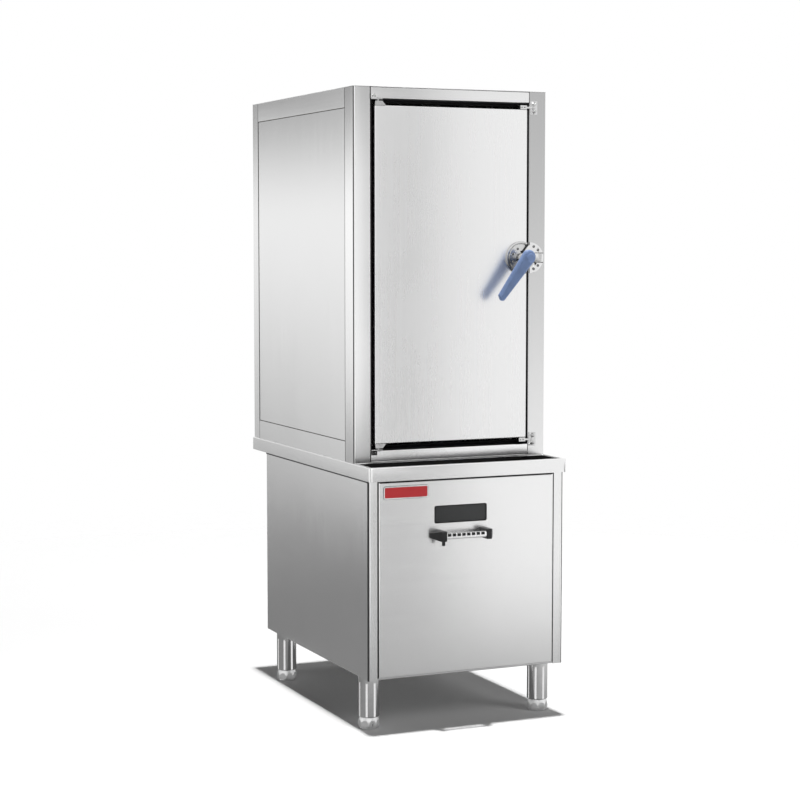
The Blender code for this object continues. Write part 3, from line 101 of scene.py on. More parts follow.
def add_node(tree, kind, inputs=None, **settings):
    """A shader node with its settings, each input linked or set."""
    node = tree.nodes.new(kind)
    for key, value in settings.items():
        setattr(node, key, value)
    for socket, value in (inputs or {}).items():
        if isinstance(value, bpy.types.NodeSocket):
            tree.links.new(value, node.inputs[socket])
        else:
            node.inputs[socket].default_value = value
    return node


def grey(level):
    return (level, level, level)


def shade(colour, share):
    """The colour made darker or lighter by a share."""
    return tuple(min(1.0, channel * share) for channel in colour)


class Finish:
    """One procedural material: a Principled shader with masks laid on its colour, roughness and height."""

    def __init__(self, name, colour, roughness, metallic=0.0, **constants):
        self.material = bpy.data.materials.new(name)
        self.material.use_nodes = True
        self.tree = self.material.node_tree
        self.shader = next(node for node in self.tree.nodes if node.type == "BSDF_PRINCIPLED")
        constants |= {"Base_Color": (*colour, 1), "Roughness": roughness, "Metallic": metallic}
        for socket, value in constants.items():
            self.shader.inputs[socket.replace("_", " ")].default_value = value
        self.place = self.add("ShaderNodeTexCoord").outputs["Object"]

    def add(self, kind, inputs=None, **settings):
        return add_node(self.tree, kind, inputs, **settings)

    def feed(self, value, socket):
        self.tree.links.new(value, self.shader.inputs[socket])

    def mapped(self, scale, stretch=(1, 1, 1)):
        """The object's own coordinates, scaled per metre and stretched along the axes with small shares."""
        scales = [scale * share for share in stretch]
        return self.add("ShaderNodeMapping", {"Vector": self.place, "Scale": scales}).outputs[0]

    def noise(self, scale, detail=3.0, rough=0.55, stretch=(1, 1, 1), distortion=0.0):
        """Cloudy noise."""
        inputs = {"Vector": self.mapped(scale, stretch), "Scale": 1.0, "Detail": detail,
                  "Roughness": rough, "Distortion": distortion}
        return self.add("ShaderNodeTexNoise", inputs).outputs["Fac"]

    def cells(self, scale):
        """Small round cells."""
        inputs = {"Vector": self.mapped(scale), "Scale": 1.0}
        return self.add("ShaderNodeTexVoronoi", inputs).outputs["Distance"]

    def maths(self, operation, first, second):
        return self.add("ShaderNodeMath", {0: first, 1: second}, operation=operation).outputs[0]

    def ramp(self, mask, stops, interpolation="LINEAR"):
        """A colour ramp through the stops, each a position and a colour."""
        node = self.add("ShaderNodeValToRGB", {"Fac": mask})
        elements = node.color_ramp.elements
        elements[0].position, elements[1].position = stops[0][0], stops[-1][0]
        for position, _ in stops[1:-1]:
            elements.new(position)
        for element, (_, colour) in zip(elements, stops):
            element.color = (*colour, 1)
        node.color_ramp.interpolation = interpolation
        return node.outputs["Color"]

    def colours(self, mask, *stops):
        """The base colour runs through the stops as the mask rises."""
        colour = self.ramp(mask, stops)
        self.feed(colour, "Base Color")
        return colour

    def shaded(self, mask, colour, *stops):
        """The base colour runs through shares of one colour, each stop a position and a share."""
        return self.colours(mask, *[(position, shade(colour, share)) for position, share in stops])

    def painted_shade_by_height(self, colour, heights, shade_tones):
        """Painted light and shade: the base colour scaled by tones that follow each other evenly between two
        heights.
        """
        height = self.add("ShaderNodeSeparateXYZ", {"Vector": self.place}).outputs["Z"]
        inputs = {"Value": height, "From Min": heights[0], "From Max": heights[1]}
        level = self.add("ShaderNodeMapRange", inputs).outputs["Result"]
        stops = [(index / (len(shade_tones) - 1), grey(tone)) for index, tone in enumerate(shade_tones)]
        scale = self.ramp(level, stops, "B_SPLINE")
        scaled = self.add("ShaderNodeVectorMath", {0: colour, 1: scale}, operation="MULTIPLY")
        self.feed(scaled.outputs[0], "Base Color")

    def roughness(self, mask, low, high):
        """The roughness runs from low to high over the middle of the mask."""
        inputs = {"Value": mask, "From Min": 0.3, "From Max": 0.7, "To Min": low, "To Max": high}
        self.feed(self.add("ShaderNodeMapRange", inputs).outputs["Result"], "Roughness")

    def bump(self, mask, distance, strength):
        inputs = {"Height": mask, "Distance": distance, "Strength": strength}
        self.feed(self.add("ShaderNodeBump", inputs).outputs["Normal"], "Normal")


GRAIN_SCALE = 90
GRAIN_STRETCH = 0.015
GRAIN_TONE = 0.05


def sheet_steel(name, settings, axis, share=1.0, heights=None, shade_tones=(), rough=1.0):
    """Satin stainless sheet with rolling grain along one axis and slow waves, with painted shade where the
    tones darken it between two heights.
    """
    finish = Finish(name, shade(settings.colour, share), settings.roughness, 1.0)
    stretch = [GRAIN_STRETCH if letter == axis else 1 for letter in "XYZ"]
    streak = finish.noise(GRAIN_SCALE, 2.0, 0.6, stretch)
    wiped = finish.noise(5.0, distortion=0.4)
    tone = finish.maths("ADD", finish.maths("MULTIPLY", streak, 0.5), finish.maths("MULTIPLY", wiped, 0.5))
    spread = GRAIN_TONE * settings.grain
    dark, light = share * (1 - spread), share * (1 + spread / 2)
    colour = finish.shaded(tone, settings.colour, (0.3, dark), (0.7, light))
    if heights:
        finish.painted_shade_by_height(colour, heights, shade_tones)
    rough *= settings.roughness
    finish.roughness(tone, rough * (1 - spread * 4), rough * (1 + spread * 4))
    finish.bump(finish.noise(2.2, 1.0, 0.4), settings.waves, 0.5)
    return finish.material


def polished_steel(name, settings, share, rough, heights=None, shade_tones=()):
    """Polished stainless steel with faint polishing lines and finger marks, with painted shade where the
    tones darken it between two heights.
    """
    finish = Finish(name, shade(settings.bright_colour, share), settings.polish, 1.0)
    marks = finish.noise(45, 4.0, 0.6, distortion=0.8)
    rough *= settings.polish
    finish.roughness(marks, rough * 0.7, rough * 1.6)
    colour = finish.shaded(marks, settings.bright_colour, (0.35, share * 0.95), (0.65, share))
    if heights:
        finish.painted_shade_by_height(colour, heights, shade_tones)
    finish.bump(finish.noise(260, 2.0), 0.00001, 0.3)
    return finish.material


def moulded_plastic(name, colour, roughness, pebble=1800, depth=0.00006):
    """Moulded plastic with a fine spark-eroded surface, rubbed a little smoother in patches."""
    finish = Finish(name, colour, roughness, Specular_IOR_Level=0.45)
    rubbed = finish.noise(35)
    finish.roughness(rubbed, roughness * 0.8, roughness * 1.2)
    finish.shaded(rubbed, colour, (0.3, 0.9), (0.7, 1.08))
    finish.bump(finish.cells(pebble), depth, 0.35)
    return finish.material


def rubber_or_painted_shade(name, colour):
    """Dull silicone rubber with a fine dusting, also the dark strips of painted shade in gaps, joints and
    slots.
    """
    finish = Finish(name, colour, 0.62, Specular_IOR_Level=0.35)
    dust = finish.noise(220, 4.0)
    finish.shaded(dust, colour, (0.35, 1), (0.75, 2.2))
    finish.roughness(dust, 0.5, 0.75)
    finish.bump(finish.noise(1200, 2.0), 0.00005, 0.4)
    return finish.material


def glossy_black(name, colour, roughness, gloss=0.5):
    """A black glossy surface with faint dust in it."""
    finish = Finish(name, colour, roughness, Specular_IOR_Level=gloss)
    finish.shaded(finish.noise(400, 5.0, 0.7), colour, (0.4, 1), (0.85, 1.5))
    finish.roughness(finish.noise(12), roughness * 0.7, roughness * 1.5)
    return finish.material


def enamel(name, colour):
    """Glossy stoving enamel with a faint orange-peel surface."""
    finish = Finish(name, colour, 0.28, Specular_IOR_Level=0.5, Coat_Weight=0.4, Coat_Roughness=0.12)
    finish.shaded(finish.noise(4, 1.0), colour, (0.3, 0.985), (0.7, 1.015))
    finish.roughness(finish.noise(8, 1.0), 0.27, 0.31)
    finish.bump(finish.noise(700, 1.0), 0.00001, 0.2)
    return finish.material


def stone_wool(name):
    """Compressed stone wool: layered fibres in dull yellow brown."""
    finish = Finish(name, (0.50, 0.43, 0.25), 0.95, Specular_IOR_Level=0.1)
    fibre = finish.noise(420, 6.0, 0.75, (1, 1, 0.25), 1.5)
    finish.colours(fibre, (0.25, (0.24, 0.19, 0.10)), (0.5, (0.48, 0.41, 0.24)), (0.8, (0.70, 0.63, 0.42)))
    finish.bump(fibre, 0.0012, 0.8)
    return finish.material


def cast_aluminium(name):
    """Bare cast aluminium with a sandy skin."""
    finish = Finish(name, (0.52, 0.53, 0.54), 0.5, 1.0)
    skin = finish.noise(650, 4.0, 0.65)
    finish.roughness(skin, 0.38, 0.6)
    finish.colours(finish.noise(18), (0.3, (0.44, 0.45, 0.46)), (0.7, (0.58, 0.59, 0.60)))
    finish.bump(skin, 0.00012, 0.6)
    return finish.material


def coil_copper(name):
    """Lacquered stranded copper in a resin holder."""
    finish = Finish(name, (0.55, 0.22, 0.09), 0.38, 0.85, Coat_Weight=0.35, Coat_Roughness=0.2)
    strand = finish.noise(700, 3.0, 0.6, (1, 1, 0.4), 0.6)
    finish.colours(strand, (0.3, (0.34, 0.11, 0.04)), (0.7, (0.66, 0.28, 0.12)))
    finish.bump(strand, 0.0002, 0.7)
    return finish.material


# Mesh work


def span(bm, low, high):
    """A block between two corners."""
    low, high = Vector(low), Vector(high)
    made = bmesh.ops.create_cube(bm, size=1.0)["verts"]
    bmesh.ops.scale(bm, vec=high - low, verts=made)
    bmesh.ops.translate(bm, vec=(low + high) / 2, verts=made)


def strip(bm, *ranges):
    """A block from its ranges in X, Y and Z, each in any order."""
    span(bm, *zip(*(sorted(pair) for pair in ranges)))


def outward(bm):
    bmesh.ops.recalc_face_normals(bm, faces=bm.faces)


def soften(bm, width, segments, edges=None, angle=30):
    """Rounds the given edges, or all that are sharper than the angle."""
    if edges is None:
        bm.normal_update()
        sharp = math.radians(angle)
        edges = [edge for edge in bm.edges if edge.is_manifold and edge.calc_face_angle() > sharp]
    bmesh.ops.bevel(bm, geom=edges, offset=width, offset_type="OFFSET", segments=segments, profile=0.5,
                    affect="EDGES", material=-1, clamp_overlap=True)


def moved(bm, matrix):
    bmesh.ops.transform(bm, matrix=matrix, verts=bm.verts)


def turned(bm, profile, steps, move=UPRIGHT):
    """A turned form about Z from its (radius, height) points, then moved."""
    points = [bm.verts.new((radius, 0, height)) for radius, height in profile]
    line = [bm.edges.new(pair) for pair in zip(points, points[1:])]
    if profile[0][0] or profile[-1][0]:
        line.append(bm.edges.new((points[-1], points[0])))
    before = set(bm.verts) - set(points)
    bmesh.ops.spin(bm, geom=points + line, cent=(0, 0, 0), axis=(0, 0, 1), angle=math.tau, steps=steps,
                   use_merge=True, use_duplicate=False)
    bmesh.ops.remove_doubles(bm, verts=[vert for vert in bm.verts if vert not in before], dist=WELD)
    made = [vert for vert in bm.verts if vert not in before]
    faces = list({face for vert in made for face in vert.link_faces})
    bmesh.ops.recalc_face_normals(bm, faces=faces)
    bmesh.ops.transform(bm, matrix=move, verts=made)


def rod(bm, foot, radius, top):
    """An upright round rod from its foot to a height."""
    rise = top - foot[2]
    turned(bm, [(0, 0), (radius, 0), (radius, rise), (0, rise)], 24, Matrix.Translation(foot))


def hull(bm, rings, steps):
    """The closed form that wraps round flat rings, each (x, y, z, radius)."""
    made = []
    for x, y, z, radius in rings:
        place = Matrix.Translation((x, y, z))
        ring = bmesh.ops.create_circle(bm, cap_ends=False, radius=radius, segments=steps, matrix=place)
        made += ring["verts"]
    wrapped = bmesh.ops.convex_hull(bm, input=made, use_existing_faces=False)
    spare = wrapped["geom_interior"] + wrapped["geom_unused"]
    inside = [item for item in spare if isinstance(item, bmesh.types.BMVert)]
    bmesh.ops.delete(bm, geom=inside, context="VERTS")
    bmesh.ops.delete(bm, geom=[edge for edge in bm.edges if not edge.link_faces], context="EDGES")
    outward(bm)


def slab(bm, outline, low, high):
    """A flat form from its outline in XY, between two heights."""
    base = bm.faces.new([bm.verts.new((x, y, low)) for x, y in outline])
    made = bmesh.ops.extrude_face_region(bm, geom=[base])["geom"]
    top = [item for item in made if isinstance(item, bmesh.types.BMVert)]
    bmesh.ops.translate(bm, vec=(0, 0, high - low), verts=top)
    outward(bm)


def around(radius, degrees):
    """A point on a circle, in the circle's own plane."""
    return radius * math.cos(math.radians(degrees)), radius * math.sin(math.radians(degrees))


def arc(centre, radius, start, end, steps):
    """Points along an arc, its angles in degrees."""
    points = [around(radius, start + (end - start) * step / steps) for step in range(steps + 1)]
    return [(centre[0] + x, centre[1] + y) for x, y in points]


def mesh_of(name, bm):
    """A mesh with what bm holds, which is freed."""
    mesh = bpy.data.meshes.new(name)
    bm.to_mesh(mesh)
    bm.free()
    return mesh


def linked(name, data):
    """A new object in the scene."""
    obj = bpy.data.objects.new(name, data)
    bpy.context.scene.collection.objects.link(obj)
    return obj


def piece(name, bm, body, finishes, stands_for=(), angle=50):
    """Makes the mesh a named piece of a body, with its finish and the CAD nodes that it stands for."""
    obj = linked(name, mesh_of(name, bm))
    for finish in finishes if isinstance(finishes, list) else [finishes]:
        obj.data.materials.append(finish)
    obj.data.shade_smooth()
    obj.data.set_sharp_from_angle(angle=math.radians(angle))
    even = obj.modifiers.new("even_shading", "WEIGHTED_NORMAL")
    even.keep_sharp = True
    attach(obj, body)
    if stands_for:
        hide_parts(*stands_for)


def merged_copy(node):
    """A welded copy of a CAD node's mesh, to work on."""
    bm = bmesh.new()
    bm.from_mesh(frame["nodes"][node].data)
    bmesh.ops.remove_doubles(bm, verts=bm.verts, dist=WELD)
    return bm


def dressed(node, finishes, pick=None, angle=50):
    """A welded copy that stands for its node, smooth over the folds; pick chooses each face's finish."""
    bm = merged_copy(node)
    if pick:
        for face in bm.faces:
            face.material_index = pick(face)
    body = frame["nodes"][node]["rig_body"]
    piece(f"{node}_finished", bm, body, finishes, [node], angle)


def coat(node, finish):
    """Gives a CAD node its material."""
    slots = frame["nodes"][node].material_slots
    if not slots:
        raise ValueError(f"{node} has no material slot")
    for slot in slots:
        slot.material = finish


def carved(bm, cutter, operation="DIFFERENCE"):
    """The first mesh with the second one cut away from it, or kept only inside it."""
    work, tool = linked("work", mesh_of("work", bm)), linked("cutter", mesh_of("cutter", cutter))
    boolean = work.modifiers.new("cut", "BOOLEAN")
    boolean.operation, boolean.solver, boolean.object = operation, "EXACT", tool
    bpy.context.view_layer.update()
    graph = bpy.context.evaluated_depsgraph_get()
    result = bmesh.new()
    result.from_mesh(bpy.data.meshes.new_from_object(work.evaluated_get(graph)))
    for obj in (work, tool):
        bpy.data.objects.remove(obj, do_unlink=True)
    return result


def round_screws(name, places, radius, move, body, finish):
    """Low domed screw heads with a socket, seated on the plane that move turns them to."""
    bm = bmesh.new()
    profile = [(0, 0.22), (0.42, 0.22), (0.42, 0.62), (0.75, 0.50), (1, 0.18), (1, -0.05), (0, -0.05)]
    profile = [(radius * across, radius * height) for across, height in profile]
    for place in places:
        turned(bm, profile, 20, Matrix.Translation(place) @ move)
    piece(name, bm, body, finish, angle=35)


def middle_of(node):
    low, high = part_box(node)
    return (low + high) / 2


def both(*stems):
    """The names of the left and the right node of each kind."""
    return [f"{stem}_{side}" for stem in stems for side in SIDES]


def flank(node, side):
    """Where a node ends in X: on its left for side -1, on its right for side 1."""
    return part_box(node)[1 if side > 0 else 0].x


# Sizes and colours that a user may change

COLOUR = {"subtype": "COLOR", "size": 3, "min": 0, "max": 1}
FACTOR = {"subtype": "FACTOR", "min": 0, "max": 1}
LENGTH = {"subtype": "DISTANCE", "unit": "LENGTH"}


class CabinetSteel(bpy.types.PropertyGroup):
    colour: FloatVectorProperty(
        name="Satin colour", description="Colour of the satin steel sheets", default=grey(0.87), **COLOUR)
    roughness: FloatProperty(
        name="Satin roughness", description="Roughness of the satin steel sheets", default=0.24, **FACTOR)
    grain: FloatProperty(
        name="Grain", description="How much the rolling grain shifts tone and gloss", default=0.35, **FACTOR)
    waves: FloatProperty(
        name="Waves", description="Height of the slow waves in the sheets", min=0, max=0.005,
        default=0.0012, **LENGTH)
    bright_colour: FloatVectorProperty(
        name="Polished colour", description="Colour of the polished steel", default=grey(0.86), **COLOUR)
    polish: FloatProperty(
        name="Polished roughness", description="Roughness of the polished steel", default=0.11, **FACTOR)
    # The sunk field is steel; this near black colour is painted dark reflection and shade
    painted_field_colour: FloatVectorProperty(
        name="Worktop field", description="Colour of the worktop's sunk field", default=grey(0.006), **COLOUR)


class CabinetLatch(bpy.types.PropertyGroup):
    lever_colour: FloatVectorProperty(
        name="Lever colour", description="Colour of the latch's plastic lever", default=(0.25, 0.36, 0.64),
        **COLOUR)
    lever_width: FloatProperty(
        name="Lever width", description="Width of the lever at its boss", min=0.02, max=0.043, default=0.043,
        **LENGTH)
    screw_radius: FloatProperty(
        name="Screw radius", description="Radius of the screw heads on the latch", min=0.001, max=0.006,
        default=0.0038, **LENGTH)


class CabinetDrawer(bpy.types.PropertyGroup):
    plate_colour: FloatVectorProperty(
        name="Plate colour", description="Colour of the plain plate", default=(0.72, 0.022, 0.030), **COLOUR)
    plate_width: FloatProperty(
        name="Plate width", description="Width of the plain plate", min=0.05, max=0.2, default=0.140,
        **LENGTH)
    plate_height: FloatProperty(
        name="Plate height", description="Height of the plain plate", min=0.02, max=0.06, default=0.037,
        **LENGTH)
    pockets: IntProperty(
        name="Bar pockets", description="Dark pockets along the handle bar's face", min=0, max=12, default=8)


class CabinetLegs(bpy.types.PropertyGroup):
    radius: FloatProperty(
        name="Leg radius", description="Radius of the leg tubes", min=0.02, max=0.031, default=0.031,
        **LENGTH)
    bead: FloatProperty(
        name="Weld bead", description="Height of the weld bead under the base", min=0.001, max=0.005,
        default=0.002, **LENGTH)


class CabinetStudio(bpy.types.PropertyGroup):
    floor_colour: FloatVectorProperty(
        name="Floor colour", description="Colour of the pale floor", default=grey(0.93), **COLOUR)
    sky_level: FloatProperty(
        name="Soft light", description="Level of the soft light all round", min=0, max=1, default=0.08)
    lamp_level: FloatProperty(
        name="Overhead lamp", description="Level of the overhead lamp", min=0, max=5, default=3.0)
    lens: FloatProperty(
        name="Lens", description="Focal length of the camera in millimetres", min=20, max=200, default=87.1)


# Sheets of plain satin steel, sheets whose brightness share is painted light and shade, and the front posts:
# their painted brightness and the painted shade that runs from foot to head
STEEL_Z_NODES = both("rear_post", "base_side")
STEEL_X_PAINTED_LIGHT = {"front_rail_top": 0.93, "front_rail_bottom": 1.12, "drawer_front": 1.02}
POST_PAINTED_SHADE = {
    "left": (1.14, (0.52, 1.0, 1.0, 1.0, 1.0, 0.62)),
    "right": (1.0, (0.94, 0.83, 0.70, 0.60, 0.54)),
}

# Dark strips over the sheet joints, painted shade of their gaps: half their width, half their height, how
# deep and how proud they sit
SEAM_W = 0.0013
SEAM_H = 0.0006
SEAM_SUNK = 0.0004
SEAM_PROUD = 0.0009
# Dark strips beside the drawer front, painted shade in its gaps: clearance, far edge and depth behind its
# face
GAP_SHADE_CLEAR = 0.0003
GAP_SHADE_REACH = 0.0037
GAP_SHADE_SUNK = 0.0015
# Round beads of the folded corners, their distance in from the side, and the dark line behind them, a painted
# shade:
# its reach in X and in Y from the corner
BEAD_R = 0.0022
BEAD_IN = 0.0054
CORNER_SHADE_LINE = ((-0.0002, 0.0030), (-0.0004, 0.0003))
DRAWER_BEAD_R = BEAD_R * 0.8
DRAWER_BEAD_IN = BEAD_R * 0.62


def seen_top(node):
    """The height up to which a corner sheet shows: a base side ends behind the worktop's apron."""
    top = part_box(node)[1].z
    return min(top, APRON_FOOT) if node.startswith("base") else top


class CABINET_OT_sheets(bpy.types.Operator):
    """Satin sheets of the steam box, the door and the base, some with painted light and shade, with dark
    strips of painted shade at their joints, and their beads
    """
    bl_idname = "cabinet.sheets"
    bl_label = "Steel sheets"

    def execute(self, context):
        settings = context.scene.cabinet_steel
        upright = sheet_steel("satin_upright", settings, "Z")
        deep = sheet_steel("satin_deep", settings, "Y")
        # Each front post gets its own copy with painted light and shade: a brightness share and tones along
        # its height
        for side, (share, shade_tones) in POST_PAINTED_SHADE.items():
            post = sheet_steel(f"satin_post_{side}", settings, "Z", share, (DECK_TOP, BOX_HEAD), shade_tones)
            dressed(f"front_post_{side}", post)
        for node in STEEL_Z_NODES:
            dressed(node, upright)
        # Each rail and the drawer front get a lighter or darker copy: painted light
        for node, share in STEEL_X_PAINTED_LIGHT.items():
            dressed(node, sheet_steel(f"satin_{node}", settings, "X", share))
        dressed("door_skin", sheet_steel("satin_door", settings, "Z", rough=1.15))
        for node in (*both("side_panel"), "back_panel"):
            coat(node, upright)
        dressed("roof_cap", deep)
        dressed("base_back", upright, angle=40)
        coat("floor_pan", deep)
        self.seams()
        self.drawer_edges(settings)
        self.corner_beads(settings)
        return {"FINISHED"}

    def seams(self):
        """Dark strips of painted shade over the joints of the side panels, base sides, left corners and front
        rails.
        """
        bm = bmesh.new()
        rail_low, rail_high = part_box("front_rail_top")
        for label, side in SIDES.items():
            for node in (f"side_panel_{label}", f"base_side_{label}"):
                low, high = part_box(node)
                outer = flank(node, side)
                x, y = (outer - side * SEAM_SUNK, outer + side * SEAM_PROUD), (low.y, high.y)
                if node.startswith("base"):
                    # Base sides: painted shade under the worktop's apron and along the front edge
                    strip(bm, x, y, (APRON_FOOT - SEAM_H * 8, APRON_FOOT + SEAM_H * 3))
                    strip(bm, x, (low.y + SEAM_H, low.y + SEAM_W * 4), (low.z, APRON_FOOT))
                else:
                    for edge in y:
                        strip(bm, x, (edge - SEAM_W, edge + SEAM_W), (BOX_FOOT, BOX_HEAD))
                    for edge in (low.z, high.z):
                        strip(bm, x, y, (edge - SEAM_H, edge + SEAM_H))
            foot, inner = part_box(f"front_post_{label}")[0], flank(f"front_post_{label}", -side)
            for z in (foot.z, rail_low.z):
                y = (foot.y - SEAM_PROUD / 2, foot.y + SEAM_H)
                strip(bm, (inner - SEAM_H, inner + SEAM_H), y, (z, z + rail_high.z - rail_low.z))
        # Dark lines along the left corners, behind the beads: painted shade
        for node in ("front_post_left", "base_side_left"):
            low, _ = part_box(node)
            x, y = ([edge + reach for reach in line] for edge, line in zip(low, CORNER_SHADE_LINE))
            strip(bm, x, y, (low.z, seen_top(node)))
        piece("panel_seams", bm, "cabinet", rubber_or_painted_shade("seam_grey", grey(0.035)))

    def drawer_edges(self, settings):
        """The bright folded edges of the drawer front, and dark strips of painted shade in the gaps beside
        them.
        """
        gap_shades, beads = bmesh.new(), bmesh.new()
        low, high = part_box("drawer_front")
        for edge, side in ((low.x, -1), (high.x, 1)):
            strip(gap_shades, (edge + side * GAP_SHADE_CLEAR, edge + side * GAP_SHADE_REACH),
                  (low.y + GAP_SHADE_SUNK, low.y + GAP_SHADE_SUNK * 6), (low.z, APRON_FOOT - GAP_SHADE_CLEAR))
            foot = (edge - side * DRAWER_BEAD_R, low.y + DRAWER_BEAD_IN, low.z)
            rod(beads, foot, DRAWER_BEAD_R, high.z)
        bright = polished_steel("drawer_bead_steel", settings, 1.1, 0.9)
        piece("drawer_beads", beads, "drawer", bright)
        piece("drawer_seals", gap_shades, "cabinet", rubber_or_painted_shade("gap_black", grey(0.006)))

    def corner_beads(self, settings):
        bm = bmesh.new()
        for node, side in (("front_post_left", -1), ("base_side_left", -1), ("base_side_right", 1)):
            low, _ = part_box(node)
            foot = (flank(node, side) - side * BEAD_IN, low.y + BEAD_R - SEAM_H, low.z)
            rod(bm, foot, BEAD_R, seen_top(node))
        bright = polished_steel("bead_steel", settings, 1.1, 0.9)
        piece("corner_beads", bm, "cabinet", bright)


FIELD_SUNK = 0.003


class CABINET_OT_worktop(bpy.types.Operator):
    """The folded worktop with its dark glossy sunk field, whose near black colour is painted dark reflection
    and shade on steel
    """
    bl_idname = "cabinet.worktop"
    bl_label = "Worktop"

    def execute(self, context):
        settings = context.scene.cabinet_steel
        rim = sheet_steel("satin_worktop", settings, "X")
        field = glossy_black("worktop_field", settings.painted_field_colour, 0.16, 0.0)

        # Faces of the sunk field take the painted dark reflection
        def pick(face):
            place = face.calc_center_median()
            sunk = place.y < BOX_FRONT and abs(DECK_TOP - FIELD_SUNK - place.z) < 0.001
            return int(sunk and face.normal.z > 0.9)

        dressed("worktop", [rim, field], pick)
        return {"FINISHED"}


# Thickness of the fittings where screws sit, the screws, and how far these are from a middle or an edge
KEEPER_T = 0.002
KEEPER_SCREW_R = 0.0021
KEEPER_SCREW_OUT = 0.0168
BRACKET_T = 0.0033
BRACKET_SCREW_R = 0.0022
BRACKET_SCREW_IN = 0.0065


class CABINET_OT_fittings(bpy.types.Operator):
    """Door pivots and corner catches with their screws"""
    bl_idname = "cabinet.fittings"
    bl_label = "Pivots and catches"

    def execute(self, context):
        settings = context.scene.cabinet_steel
        cast = polished_steel("fitting_steel", settings, 0.78, 1.8)
        dark = polished_steel("screw_steel", settings, 0.35, 1.6)
        for end in ("top", "bottom"):
            for node in ("hinge_bracket", "hinge_block", "catch_block", "catch_keeper"):
                dressed(f"{node}_{end}", cast, angle=40)
            middle, face = middle_of(f"catch_keeper_{end}"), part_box(f"catch_keeper_{end}")[1].y - KEEPER_T
            places = [(middle.x, face, middle.z + shift) for shift in (-KEEPER_SCREW_OUT, KEEPER_SCREW_OUT)]
            round_screws(f"keeper_screws_{end}", places, KEEPER_SCREW_R, TO_FRONT, "cabinet", dark)
            low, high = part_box(f"hinge_bracket_{end}")
            edge = high.z - BRACKET_SCREW_IN if end == "top" else low.z + BRACKET_SCREW_IN
            places = [(low.x + inset, BOX_FRONT - BRACKET_T, edge) for inset in (0.005, 0.013)]
            round_screws(f"bracket_screws_{end}", places, BRACKET_SCREW_R, TO_FRONT, "cabinet", dark)
            low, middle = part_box(f"catch_block_{end}")[0], middle_of(f"catch_block_{end}")
            places = [(low.x + inset, low.y, middle.z) for inset in (0.005, 0.014)]
            round_screws(f"catch_screws_{end}", places, KEEPER_SCREW_R, TO_FRONT, "door", dark)
        return {"FINISHED"}


# The latch's plate, its rim and its screws, and the painted shade that darkens the plate's lower half
PLATE_R = 0.049
PLATE_RIM = 0.006
PLATE_RIM_T = 0.0065
PLATE_FACE_T = 0.0025
PLATE_SCREW_RING = 0.0285
SLOT_RADII = (0.0205, 0.0170)
SLOT_ANGLES = (52, 96)
PLATE_PAINTED_SHADE = (0.16, 0.24, 0.62, 0.9, 0.8)
SEAT = 0.0003
# The lever: its angle, length, heights over the door, and its outline as shares of height and width
LEVER_ANGLE = math.radians(-37.5)
LEVER_LENGTH = 0.146
LEVER_FOOT = 0.052
LEVER_TOP = 0.068
LEVER_DROP = 0.0035
LEVER_CROWN = ((0.0, 0.86), (0.18, 0.97), (0.42, 1.0), (0.70, 0.95), (0.88, 0.82), (1.0, 0.55))
BOSS_SIDE = 0.0045
TIP_R = 0.0095
HOOK_SIDE = 0.0105
HOOK_R = 0.0042
# The keeper's screws and the edges of its middle block, where dark strips of painted shade lie
KEEPER_FACE_T = 0.0043
KEEPER_SCREW_RING = 0.036
KEEPER_SHADE_EDGES = (0.0128, 0.0150)


def latch_frame(angle=0.0):
    """Turns a form drawn flat, its height outwards, to the spindle's axis on the door's face."""
    return Matrix.Translation((LATCH_X, DOOR_FACE, LATCH_Z)) @ TO_FRONT @ Matrix.Rotation(angle, 4, "Z")


